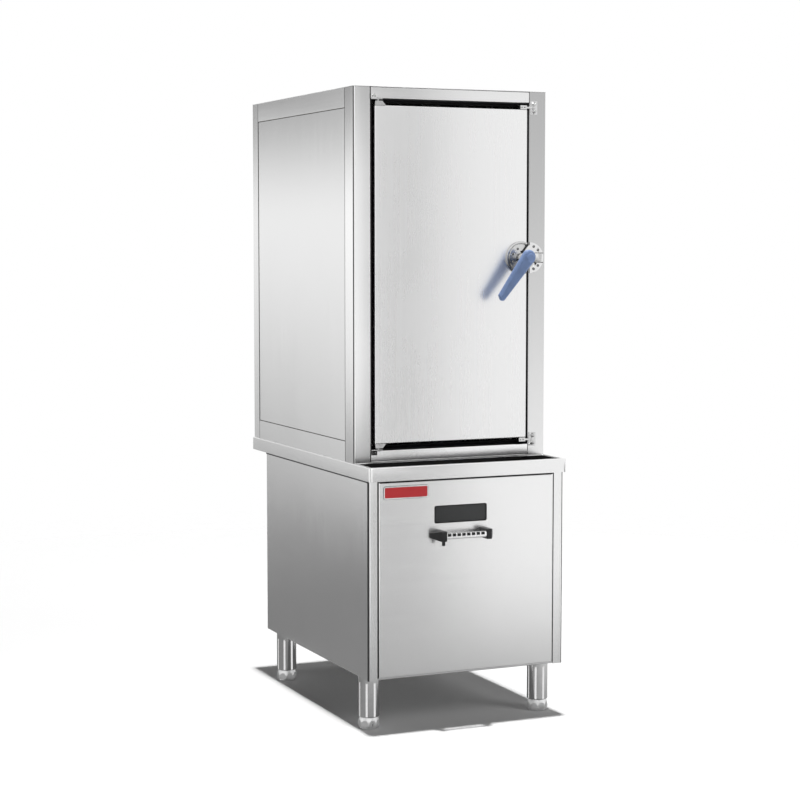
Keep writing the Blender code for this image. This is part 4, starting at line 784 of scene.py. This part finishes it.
class CABINET_OT_latch(bpy.types.Operator):
    """The dished plate, the spindle and the plastic lever on the door, and the keeper on the post"""
    bl_idname = "cabinet.latch"
    bl_label = "Latch"

    def execute(self, context):
        steel, latch = context.scene.cabinet_steel, context.scene.cabinet_latch
        bright = polished_steel("latch_steel", steel, 0.92, 0.9)
        dark = polished_steel("latch_screw_steel", steel, 0.30, 1.5)
        heights = (LATCH_Z - PLATE_R, LATCH_Z + PLATE_R)
        # The dish's colour carries painted shade, darkest at its foot
        self.plate(polished_steel("latch_dish_steel", steel, 0.9, 1.6, heights, PLATE_PAINTED_SHADE))
        self.plate_details(dark, latch.screw_radius)
        self.spindle(bright)
        self.lever(latch)
        self.keeper(bright, dark, latch.screw_radius)
        return {"FINISHED"}

    def plate(self, finish):
        bm = bmesh.new()
        face, rim, width, top = PLATE_FACE_T, PLATE_R, PLATE_RIM, PLATE_RIM_T
        profile = [(0.0103, SEAT), (0.0103, face), (rim - width * 2.1, face),
                   (rim - width * 1.5, face + 0.0006), (rim - width * 1.05, top * 0.82),
                   (rim - width * 0.8, top), (rim - width * 0.3, top), (rim - width * 0.08, top * 0.86),
                   (rim, top * 0.6), (rim, SEAT)]
        turned(bm, profile, 96)
        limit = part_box("latch_plate")[1].x - LATCH_X
        geom = list(bm.verts) + list(bm.edges) + list(bm.faces)
        cut = bmesh.ops.bisect_plane(bm, geom=geom, dist=WELD, plane_co=(limit, 0, 0), plane_no=(1, 0, 0),
                                     clear_outer=True)
        edges = [item for item in cut["geom_cut"] if isinstance(item, bmesh.types.BMEdge)]
        bmesh.ops.holes_fill(bm, edges=edges, sides=0)
        outward(bm)
        moved(bm, latch_frame())
        piece("latch_dish", bm, "door", finish, ["latch_plate"], 32)

    def plate_details(self, dark, radius):
        spots = [around(PLATE_SCREW_RING, angle) for angle in (112, 156, 204, 248)]
        places = [latch_frame() @ Vector((*spot, PLATE_FACE_T)) for spot in spots]
        round_screws("latch_plate_screws", places, radius, TO_FRONT, "door", dark)
        # The arc slot is a thin black slab on the plate's face: painted shade of a slot
        bm = bmesh.new()
        (outer, inner), (start, end) = SLOT_RADII, SLOT_ANGLES
        outline = arc((0, 0), outer, start, end, 12) + arc((0, 0), inner, end, start, 12)
        slab(bm, outline, PLATE_FACE_T - 0.0002, PLATE_FACE_T + 0.0003)
        moved(bm, latch_frame())
        piece("latch_plate_slot", bm, "door", rubber_or_painted_shade("slot_black", grey(0.006)))

    def spindle(self, finish):
        bm = bmesh.new()
        slab(bm, [(-0.007, 0), (0.007, 0)] + arc((0, 0.039), 0.007, 0, 180, 16), 0.010, 0.014)
        soften(bm, 0.0007, 2, angle=50)
        moved(bm, latch_frame(LEVER_ANGLE))
        neck = [(0, 0.0520), (0.0080, 0.0520), (0.0080, 0.0420), (0.0124, 0.0420), (0.0130, 0.0412),
                (0.0130, 0.0360), (0.0121, 0.0348), (0.0121, 0.0162), (0.0130, 0.0152), (0.0130, 0.0088),
                (0.0122, 0.0080), (0.0100, 0.0080), (0.0100, SEAT), (0, SEAT)]
        turned(bm, neck, 64, latch_frame())
        piece("latch_spindle_turned", bm, "latch", finish, ["latch_spindle"], 35)

    def lever(self, latch):
        blue = moulded_plastic("lever_blue", latch.lever_colour, 0.36, 2200, 0.00004)
        light = moulded_plastic("lever_cap_blue", shade(latch.lever_colour, 1.18), 0.32, 2200, 0.00003)
        boss = latch.lever_width / 2
        bm = bmesh.new()
        rings = []
        for height, share in LEVER_CROWN:
            z = LEVER_FOOT + (LEVER_TOP - LEVER_FOOT) * height
            end = z - LEVER_DROP * height
            rings.append((-BOSS_SIDE, 0, z, boss * (0.30 + 0.70 * share)))
            rings.append((0, -LEVER_LENGTH, end, TIP_R * (0.25 + 0.75 * share)))
            if height < 0.75:
                rings.append((-HOOK_SIDE, -LEVER_LENGTH + 0.001, end, HOOK_R * share))
        hull(bm, rings, 48)
        moved(bm, latch_frame(LEVER_ANGLE))
        collar = [(0.0095, 0.0423), (0.0155, 0.0423), (0.0155, 0.0505), (0.0150, 0.0528), (0.0095, 0.0528)]
        turned(bm, collar, 48, latch_frame())
        piece("latch_lever_arm", bm, "latch", blue, ["latch_lever"], 38)
        bm = bmesh.new()
        cap = [(0, 0.0698), (0.0100, 0.0697), (0.0122, 0.0692), (0.0132, 0.0684), (0.0135, 0.0670),
               (0, 0.0670)]
        turned(bm, cap, 48, latch_frame())
        piece("latch_lever_cap", bm, "latch", light, angle=35)

    def keeper(self, bright, dark, radius):
        dressed("latch_keeper", bright, angle=35)
        low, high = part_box("latch_keeper")
        face = BOX_FRONT - KEEPER_FACE_T
        spots = [around(KEEPER_SCREW_RING, angle) for angle in (68, 40, -40, -68)]
        places = [(low.x + x, face, LATCH_Z + z) for x, z in spots]
        round_screws("latch_keeper_screws", places, radius * 1.1, TO_FRONT, "cabinet", dark)
        # Dark strips beside the keeper's middle block: painted shade of its edges
        bm = bmesh.new()
        for side in (-1, 1):
            z = [LATCH_Z + side * reach for reach in KEEPER_SHADE_EDGES]
            strip(bm, (low.x + 0.010, high.x - 0.001), (face - 0.0006, face + 0.0010), z)
        piece("keeper_joints", bm, "cabinet", rubber_or_painted_shade("joint_black", grey(0.02)))


# The window's flange, how far its seal reaches out and in from there, and how thick the seal is
WINDOW_FLANGE = 0.008
SEAL_OUT = 0.0022
SEAL_IN = 0.0012
SEAL_T = 0.0009
# The plain plate: where it starts, its middle height, thickness, border and step, and the dark ring round it,
# a painted shadow
PLATE_LEFT = -0.2655
PLATE_MIDDLE = 0.6945
PLATE_T = 0.0016
PLATE_BORDER = 0.0030
PLATE_STEP = 0.0004
PLATE_SHADOW_OUT = 0.0010


def face_panel(low, high, grow, front, back, radius, segments=5):
    """A block with rounded corners, grown all round, between two depths before the drawer's face."""
    bm = bmesh.new()
    strip(bm, (low.x - grow, high.x + grow), (DRAWER_FACE - front, DRAWER_FACE - back),
          (low.z - grow, high.z + grow))
    soften(bm, radius, segments, [edge for edge in bm.edges if edge.verts[0].co.xz == edge.verts[1].co.xz])
    return bm


class CABINET_OT_drawer_front(bpy.types.Operator):
    """The dark window with its seal and the plain plate on the drawer front"""
    bl_idname = "cabinet.drawer_front"
    bl_label = "Drawer front"

    def execute(self, context):
        self.window()
        self.plate(context.scene.cabinet_drawer, context.scene.cabinet_steel)
        return {"FINISHED"}

    def window(self):
        coat("display_window", glossy_black("window_glass", (0.030, 0.032, 0.033), 0.09))
        low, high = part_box("display_window")
        ring = face_panel(low, high, SEAL_OUT - WINDOW_FLANGE, SEAL_T, 0.0001, 0.0055)
        hole = face_panel(low, high, -SEAL_IN - WINDOW_FLANGE, 0.01, -0.01, 0.0042)
        seal = rubber_or_painted_shade("seal_black", grey(0.010))
        piece("window_seal", carved(ring, hole), "drawer", seal)

    def plate(self, settings, steel):
        low = Vector((PLATE_LEFT, 0, PLATE_MIDDLE - settings.plate_height / 2))
        high = low + Vector((settings.plate_width, 0, settings.plate_height))
        # A dark ring round the plate's edge: painted shadow
        painted_shadow = face_panel(low, high, PLATE_SHADOW_OUT, 0.0005, 0.0002, 0.0080, 6)
        piece("plate_backing", painted_shadow, "drawer", rubber_or_painted_shade("backing_grey", grey(0.10)))
        plate = face_panel(low, high, 0, PLATE_T, 0.0001, 0.0070, 6)
        plate.normal_update()
        front = [face for face in plate.faces if face.normal.y < -0.9]
        for width, depth in ((PLATE_BORDER, 0), (PLATE_STEP, -0.0003)):
            bmesh.ops.inset_region(plate, faces=front, thickness=width, depth=depth, use_even_offset=True)
        for face in plate.faces:
            face.material_index = 0 if face in front else 1
        border = polished_steel("plate_border", steel, 1.16, 1.2)
        red = enamel("plate_red", settings.plate_colour)
        piece("plain_plate", plate, "drawer", [red, border])


# The handle bar's rounding, and the pockets cut along its face
BAR_ROUND = 0.0042
POCKET_END = 0.012
POCKET_FOOT = 0.46
POCKET_HEAD = 0.0014
POCKET_SHARE = 0.74
POCKET_DEPTH = 0.0035


class CABINET_OT_handle(bpy.types.Operator):
    """The drawer handle: a bright bar with dark pockets between two moulded caps"""
    bl_idname = "cabinet.handle"
    bl_label = "Drawer handle"

    def execute(self, context):
        settings, steel = context.scene.cabinet_drawer, context.scene.cabinet_steel
        black = moulded_plastic("handle_black", (0.012, 0.012, 0.013), 0.40)
        for node in both("handle_cap"):
            bm = merged_copy(node)
            soften(bm, 0.0012, 2, angle=55)
            piece(f"{node}_moulded", bm, "drawer", black, [node], 40)
        self.bar(settings, polished_steel("handle_chrome", steel, 1.06, 0.5))
        return {"FINISHED"}

    def bar(self, settings, finish):
        low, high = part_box("handle_bar")
        bm = bmesh.new()
        span(bm, low, high)
        along = [edge for edge in bm.edges if abs((edge.verts[0].co - edge.verts[1].co).x) > 0.01]
        soften(bm, BAR_ROUND, 5, along)
        if settings.pockets:
            start, end = low.x + POCKET_END, high.x - POCKET_END
            pitch = (end - start) / settings.pockets
            foot, head = low.z + (high.z - low.z) * POCKET_FOOT, high.z - POCKET_HEAD
            tool = bmesh.new()
            for index in range(settings.pockets):
                x = start + pitch * index
                span(tool, (x, low.y - 0.01, foot), (x + pitch * POCKET_SHARE, low.y + POCKET_DEPTH, head))
            bm = carved(bm, tool)
            for face in bm.faces:
                place = face.calc_center_median()
                hollow = abs(place.y - low.y - POCKET_DEPTH) < 0.0001 and foot < place.z < head
                face.material_index = int(hollow)
        # The pocket floors are coloured near black
        dark = moulded_plastic("handle_inlay", (0.010, 0.010, 0.011), 0.45)
        piece("handle_bar_dimpled", bm, "drawer", [finish, dark], ["handle_bar"], 40)


# The base pan's height, rounding and thickness, and the nuts of the feet: radius, height and middle
PAN_H = 0.030
PAN_ROUND = 0.0025
PAN_T = 0.0015
NUT_R = 0.032
NUT_H = 0.027
NUT_Z = 0.0195


class CABINET_OT_legs(bpy.types.Operator):
    """The base pan, the welded leg tubes and the screw feet"""
    bl_idname = "cabinet.legs"
    bl_label = "Legs and feet"

    def execute(self, context):
        steel, legs = context.scene.cabinet_steel, context.scene.cabinet_legs
        self.pan(sheet_steel("satin_pan", steel, "X", 0.9))
        bright = polished_steel("leg_steel", steel, 1.02, 0.8)
        satin = polished_steel("foot_steel", steel, 1.02, 3.2)
        for name in LEG_NAMES:
            middle = middle_of(f"foot_{name}")
            place = Matrix.Translation((middle.x, middle.y, 0))
            self.leg(name, place, legs, bright)
            self.foot(name, place, satin)
        return {"FINISHED"}

    def pan(self, finish):
        low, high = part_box("base_floor")
        bm = bmesh.new()
        span(bm, (low.x, low.y, BASE_FOOT), (high.x, high.y, BASE_FOOT + PAN_H))
        bm.normal_update()
        lid = [face for face in bm.faces if face.normal.z > 0.9]
        bmesh.ops.delete(bm, geom=lid, context="FACES")
        soften(bm, PAN_ROUND, 3, [edge for edge in bm.edges if edge.is_manifold])
        outward(bm)
        bmesh.ops.solidify(bm, geom=bm.faces, thickness=PAN_T)
        outward(bm)
        piece("base_pan", bm, "cabinet", finish, ["base_floor"])

    def leg(self, name, place, legs, finish):
        bm = bmesh.new()
        radius, bead, top = legs.radius, legs.bead, BASE_FOOT - 0.0002
        profile = [(0, top), (radius + bead * 0.9, top), (radius + bead * 0.75, top - bead * 0.5),
                   (radius + bead * 0.3, top - bead * 0.9), (radius, top - bead), (radius, 0.0372),
                   (radius - 0.0009, 0.0348), (radius - 0.003, 0.0333), (0.0103, 0.0333), (0.0103, 0.0453),
                   (0, 0.0453)]
        turned(bm, profile, 96, place)
        piece(f"leg_{name}", bm, "cabinet", finish, angle=30)

    def foot(self, name, place, finish):
        nut = bmesh.new()
        bmesh.ops.create_cone(nut, cap_ends=True, cap_tris=False, segments=8, radius1=NUT_R, radius2=NUT_R,
                              depth=NUT_H, matrix=Matrix.Translation((0, 0, NUT_Z)))
        bmesh.ops.rotate(nut, matrix=Matrix.Rotation(math.pi / 8, 3, "Z"), verts=nut.verts)
        shape = bmesh.new()
        turned(shape, [(0, 0.040), (0.0232, 0.040), (0.0270, 0.0330), (0.0291, 0.0262), (0.0306, 0.0215),
                       (0.0313, 0.0160), (0.0313, 0.0080), (0.0302, 0.0060), (0.0302, 0.0), (0, 0.0)], 96)
        bm = carved(nut, shape, "INTERSECT")
        turned(bm, [(0, 0.0072), (0.0262, 0.0072), (0.0262, 0.0052), (0.0270, 0.0046), (0.0270, 0.0008),
                    (0.0262, 0.0), (0, 0.0)], 64)
        turned(bm, [(0, 0.103), (0.0092, 0.103), (0.0100, 0.1022), (0.0100, 0.0325), (0, 0.0325)], 32)
        moved(bm, place)
        node = f"foot_{name}"
        piece(f"{node}_turned", bm, frame["nodes"][node]["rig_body"], finish, [node], 28)


class CABINET_OT_chamber(bpy.types.Operator):
    """The liner, the rack ladders, the racks, the steam riser, the seal and the insulation"""
    bl_idname = "cabinet.chamber"
    bl_label = "Steam chamber"

    def execute(self, context):
        steel = context.scene.cabinet_steel
        liner = polished_steel("liner_steel", steel, 0.95, 2.0)
        wire = polished_steel("rack_steel", steel, 1.0, 1.2)
        for node in (*both("liner"), "liner_back", "liner_top", "door_inner_sheet"):
            coat(node, liner)
        for node in both("shelf_ladder"):
            coat(node, sheet_steel(f"satin_{node}", steel, "Z"))
        for node in ("shelf_lower", "shelf_middle", "shelf_upper", "steam_riser"):
            dressed(node, wire, angle=65 if node.startswith("shelf") else 35)
        dressed("door_gasket", rubber_or_painted_shade("gasket_black", (0.010, 0.010, 0.011)), angle=35)
        wool = stone_wool("wall_wool")
        coat("wall_insulation", wool)
        coat("door_insulation", wool)
        return {"FINISHED"}


class CABINET_OT_steam_plant(bpy.types.Operator):
    """The boiler, the induction coil and its drive, the drawer's tray and its slides"""
    bl_idname = "cabinet.steam_plant"
    bl_label = "Boiler and drive"

    def execute(self, context):
        steel = context.scene.cabinet_steel
        satin = sheet_steel("satin_inside", steel, "Y", 0.95)
        dressed("boiler", polished_steel("boiler_steel", steel, 0.95, 2.4), angle=35)
        dressed("induction_coil", coil_copper("coil_winding"), angle=35)
        dressed("power_module", cast_aluminium("module_casting"), angle=35)
        for node in both("slide_channel", "slide_runner"):
            dressed(node, satin)
        coat("drawer_tray", satin)
        return {"FINISHED"}


# How far the base's back sheet stands in front of the steam box's back, and the screws of both sheets
BASE_BACK_IN = 0.120
BACK_SCREW_R = 0.0042
BACK_SCREW_IN = 0.014
BASE_SCREW_IN = 0.012
BACK_SCREW_X = 0.08


def rows(node, inset, count):
    """Heights shared out over a node, the first and the last one inset from its ends."""
    low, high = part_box(node)
    return [low.z + inset + (high.z - low.z - inset * 2) * step / (count - 1) for step in range(count)]


class CABINET_OT_rear(bpy.types.Operator):
    """Screws of the back panel and of the base's back sheet"""
    bl_idname = "cabinet.rear"
    bl_label = "Back"

    def execute(self, context):
        dark = polished_steel("back_screw_steel", context.scene.cabinet_steel, 0.8, 1.5)
        high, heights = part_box("back_panel")[1], rows("back_panel", 0.025, 5)
        places = [(side * (high.x - BACK_SCREW_IN), high.y, z) for side in (-1, 1) for z in heights]
        places += [(side * BACK_SCREW_X, high.y, z) for side in (-1, 1) for z in (heights[0], heights[-1])]
        round_screws("back_panel_screws", places, BACK_SCREW_R, TO_BACK, "cabinet", dark)
        high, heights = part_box("base_back")[1], rows("base_back", 0.02, 3)
        x, y = high.x - BASE_SCREW_IN, BOX_BACK - BASE_BACK_IN
        places = [(side * x, y, z) for side in (-1, 1) for z in heights]
        round_screws("base_back_screws", places, BACK_SCREW_R, TO_BACK, "cabinet", dark)
        return {"FINISHED"}


# Studio: the camera, the lamps, the floor's size and where it fades
CAMERA_AT = (-2.431, -5.477, 1.405)
CAMERA_TURN = (math.radians(85.35), 0, math.radians(-23.85))
SENSOR = 36.0
SUN_ANGLE = math.radians(2.0)
SOFTBOX_AT = Vector((3.2, -4.6, 3.4))
SOFTBOX_AIM = Vector((0, 0, 1.1))
SOFTBOX_SIZE = (2.6, 2.2)
SOFTBOX_POWER = 55
FLOOR_R = 4.5
FLOOR_DROP = 0.0004
FLOOR_FADE = (2.0, 4.3)
FLOOR_LIFT = 0.01

# Cards that reflections see: two corners, level of grey, density, and the share that fades at each
# start and end of its two axes
CARDS = {
    "floor_card": ((-4.4, -4.0, 0.006), (2.7, 5.6, 0.006), 0.10, 0.86, [0.42] * 4),
    "front_card": ((0.235, -1.6, 0.58), (0.60, -1.6, 5.0), 0.15, 0.88, [0.24, 0.74, 0.02, 0.6]),
    "drawer_card": ((-0.18, -1.61, -2.2), (0.66, -1.61, 0.66), 0.15, 0.66, [0.47, 0.47, 1.19, 0.04]),
    "left_high_card": ((-1.3, 0.2, 1.50), (-1.3, 6.5, 3.6), 0.20, 0.84, [0.30] * 4),
    "left_low_card": ((-1.3, -0.2, -2.1), (-1.3, 7.5, 1.72), 0.08, 0.66, [0.45] * 4),
    "side_card": ((-3.4, -1.9, -0.5), (-2.2, -1.9, 3.6), 0.05, 0.95, [0.15] * 4),
}
# White cards round each leg: direction in degrees and width, then their distance, height, middle and level
LEG_CARDS = ((148, 0.020), (228, 0.030), (305, 0.035))
LEG_CARD_AWAY = 0.095
LEG_CARD_H = 0.118
LEG_CARD_Z = 0.0605
LEG_CARD_LEVEL = 0.9


def reflected_only(name, bm, finish):
    """A stage object that only reflections see."""
    card = linked(name, mesh_of(name, bm))
    card.visible_camera = card.visible_diffuse = card.visible_shadow = False
    card.visible_transmission = card.visible_volume_scatter = False
    card.data.materials.append(finish.material)


def soft_card(name, low, high, level, density, fades):
    """A flat card between two corners, square to an axis, its edges faded out by shares of its size."""
    low, high = Vector(low), Vector(high)
    size = high - low
    finish = Finish(name, grey(level), 1.0)
    axes = finish.add("ShaderNodeSeparateXYZ", {"Vector": finish.place}).outputs
    mask, shares = density, iter(fades)
    for axis, start, end in zip(axes, low, high):
        if start == end:
            continue
        for edge, other in ((start, end), (end, start)):
            inputs = {"Value": axis, "From Min": edge, "From Max": edge + (other - edge) * next(shares)}
            fade = finish.add("ShaderNodeMapRange", inputs, interpolation_type="SMOOTHSTEP")
            mask = finish.maths("MULTIPLY", mask, fade.outputs["Result"])
    clear = finish.add("ShaderNodeBsdfTransparent").outputs[0]
    tone = finish.add("ShaderNodeEmission", {"Color": (*grey(level), 1)}).outputs[0]
    mixed = finish.add("ShaderNodeMixShader", {0: mask, 1: clear, 2: tone})
    output = next(node for node in finish.tree.nodes if node.type == "OUTPUT_MATERIAL")
    finish.tree.links.new(mixed.outputs[0], output.inputs["Surface"])
    turn = next(turn for turn, extent in zip((TO_SIDE, TO_FRONT, UPRIGHT), size) if not extent)
    bm = bmesh.new()
    bmesh.ops.create_grid(bm, x_segments=1, y_segments=1, size=0.5, matrix=turn)
    bmesh.ops.scale(bm, vec=[extent or 1 for extent in size], verts=bm.verts)
    bmesh.ops.translate(bm, vec=(low + high) / 2, verts=bm.verts)
    reflected_only(name, bm, finish)


class CABINET_OT_studio(bpy.types.Operator):
    """The pale floor, the soft light, the reflection cards and the camera"""
    bl_idname = "cabinet.studio"
    bl_label = "Studio"

    def execute(self, context):
        settings = context.scene.cabinet_studio
        self.camera(context.scene, settings)
        self.world(context.scene, settings)
        self.floor(settings)
        self.lamps(settings)
        for name, card in CARDS.items():
            soft_card(name, *card)
        self.leg_cards()
        context.scene.view_settings.view_transform = "Standard"
        return {"FINISHED"}

    def camera(self, scene, settings):
        camera = bpy.data.cameras.new("photo_camera")
        camera.lens, camera.sensor_width = settings.lens, SENSOR
        scene.camera = linked("photo_camera", camera)
        scene.camera.location, scene.camera.rotation_euler = CAMERA_AT, CAMERA_TURN

    def world(self, scene, settings):
        """White to the camera, to reflections and through glass, and a faint light to all else."""
        scene.world = scene.world or bpy.data.worlds.new("studio")
        scene.world.use_nodes = True
        tree = scene.world.node_tree
        tree.nodes.clear()
        path = add_node(tree, "ShaderNodeLightPath").outputs
        seen = path["Is Camera Ray"]
        for ray in ("Is Glossy Ray", "Is Transmission Ray"):
            seen = add_node(tree, "ShaderNodeMath", {0: seen, 1: path[ray]}, operation="MAXIMUM").outputs[0]
        inputs = {"Value": seen, "To Min": settings.sky_level, "To Max": 1.0}
        level = add_node(tree, "ShaderNodeMapRange", inputs).outputs["Result"]
        sky = add_node(tree, "ShaderNodeBackground", {"Color": (1, 1, 1, 1), "Strength": level})
        add_node(tree, "ShaderNodeOutputWorld", {"Surface": sky.outputs[0]})

    def floor(self, settings):
        """A pale disc that fades out far away and can't be seen from below."""
        bm = bmesh.new()
        place = Matrix.Translation((0, 0, -FLOOR_DROP))
        bmesh.ops.create_circle(bm, cap_ends=True, radius=FLOOR_R, segments=96, matrix=place)
        floor = linked("floor", mesh_of("floor", bm))
        finish = Finish("pale_floor", settings.floor_colour, 0.9, Specular_IOR_Level=0.0,
                        Emission_Color=(1, 1, 1, 1))
        path = finish.add("ShaderNodeLightPath").outputs
        finish.feed(finish.maths("MULTIPLY", path["Is Camera Ray"], FLOOR_LIFT), "Emission Strength")
        far = finish.add("ShaderNodeVectorMath", {0: finish.place}, operation="LENGTH").outputs["Value"]
        inputs = {"Value": far, "From Min": FLOOR_FADE[1], "From Max": FLOOR_FADE[0]}
        fade = finish.add("ShaderNodeMapRange", inputs, interpolation_type="SMOOTHSTEP").outputs["Result"]
        under = finish.add("ShaderNodeNewGeometry").outputs["Backfacing"]
        finish.feed(finish.maths("MULTIPLY", fade, finish.maths("SUBTRACT", 1.0, under)), "Alpha")
        floor.data.materials.append(finish.material)

    def lamps(self, settings):
        overhead = bpy.data.lights.new("overhead_lamp", "SUN")
        overhead.energy, overhead.angle = settings.lamp_level, SUN_ANGLE
        linked("overhead_lamp", overhead).location = (0, 0, 4)
        soft = bpy.data.lights.new("front_softbox", "AREA")
        soft.shape, soft.energy = "RECTANGLE", SOFTBOX_POWER
        soft.size, soft.size_y = SOFTBOX_SIZE
        obj = linked("front_softbox", soft)
        obj.location = SOFTBOX_AT
        obj.rotation_euler = (SOFTBOX_AIM - SOFTBOX_AT).to_track_quat("-Z", "Y").to_euler()
        obj.visible_glossy = False

    def leg_cards(self):
        """Small white cards round each leg, seen only in its reflections."""
        bm = bmesh.new()
        for name in LEG_NAMES:
            leg = middle_of(f"foot_{name}")
            for angle, width in LEG_CARDS:
                turn = Matrix.Rotation(math.radians(angle), 4, "Z")
                place = Matrix.Translation((leg.x, leg.y, LEG_CARD_Z)) @ turn
                stand = Matrix.Translation((LEG_CARD_AWAY, 0, 0)) @ TO_SIDE
                made = bmesh.ops.create_grid(bm, x_segments=1, y_segments=1, size=0.5)["verts"]
                bmesh.ops.scale(bm, vec=(LEG_CARD_H, width, 1), verts=made)
                bmesh.ops.transform(bm, matrix=place @ stand, verts=made)
        white = Finish("leg_card_white", (0, 0, 0), 1.0, Emission_Strength=LEG_CARD_LEVEL,
                       Emission_Color=(1, 1, 1, 1))
        reflected_only("leg_cards", bm, white)


OPERATORS = (CABINET_OT_sheets, CABINET_OT_worktop, CABINET_OT_fittings, CABINET_OT_latch,
             CABINET_OT_drawer_front, CABINET_OT_handle, CABINET_OT_legs, CABINET_OT_chamber,
             CABINET_OT_steam_plant, CABINET_OT_rear, CABINET_OT_studio)
GROUPS = {"cabinet_steel": CabinetSteel, "cabinet_latch": CabinetLatch, "cabinet_drawer": CabinetDrawer,
          "cabinet_legs": CabinetLegs, "cabinet_studio": CabinetStudio}


class CABINET_PT_panel(bpy.types.Panel):
    """Sizes, colours and steps of the steaming cabinet's looks"""
    bl_idname = "CABINET_PT_panel"
    bl_label = "Steaming cabinet"
    bl_space_type = "VIEW_3D"
    bl_region_type = "UI"
    bl_category = "Steamer"

    def draw(self, context):
        for name, group in GROUPS.items():
            box = self.layout.box()
            settings = getattr(context.scene, name)
            for field in group.__annotations__:
                box.prop(settings, field)
        for operator in OPERATORS:
            self.layout.operator(operator.bl_idname)


def register():
    for group in GROUPS.values():
        bpy.utils.register_class(group)
    for name, group in GROUPS.items():
        setattr(bpy.types.Scene, name, PointerProperty(type=group))
    for operator in OPERATORS:
        bpy.utils.register_class(operator)
    bpy.utils.register_class(CABINET_PT_panel)


def unregister():
    bpy.utils.unregister_class(CABINET_PT_panel)
    for operator in reversed(OPERATORS):
        bpy.utils.unregister_class(operator)
    for name, group in GROUPS.items():
        delattr(bpy.types.Scene, name)
        bpy.utils.unregister_class(group)


def main():
    register()
    bpy.ops.cabinet.sheets()
    bpy.ops.cabinet.worktop()
    bpy.ops.cabinet.fittings()
    bpy.ops.cabinet.latch()
    bpy.ops.cabinet.drawer_front()
    bpy.ops.cabinet.handle()
    bpy.ops.cabinet.legs()
    bpy.ops.cabinet.chamber()
    bpy.ops.cabinet.steam_plant()
    bpy.ops.cabinet.rear()
    bpy.ops.cabinet.studio()


if __name__ == "__main__":
    main()
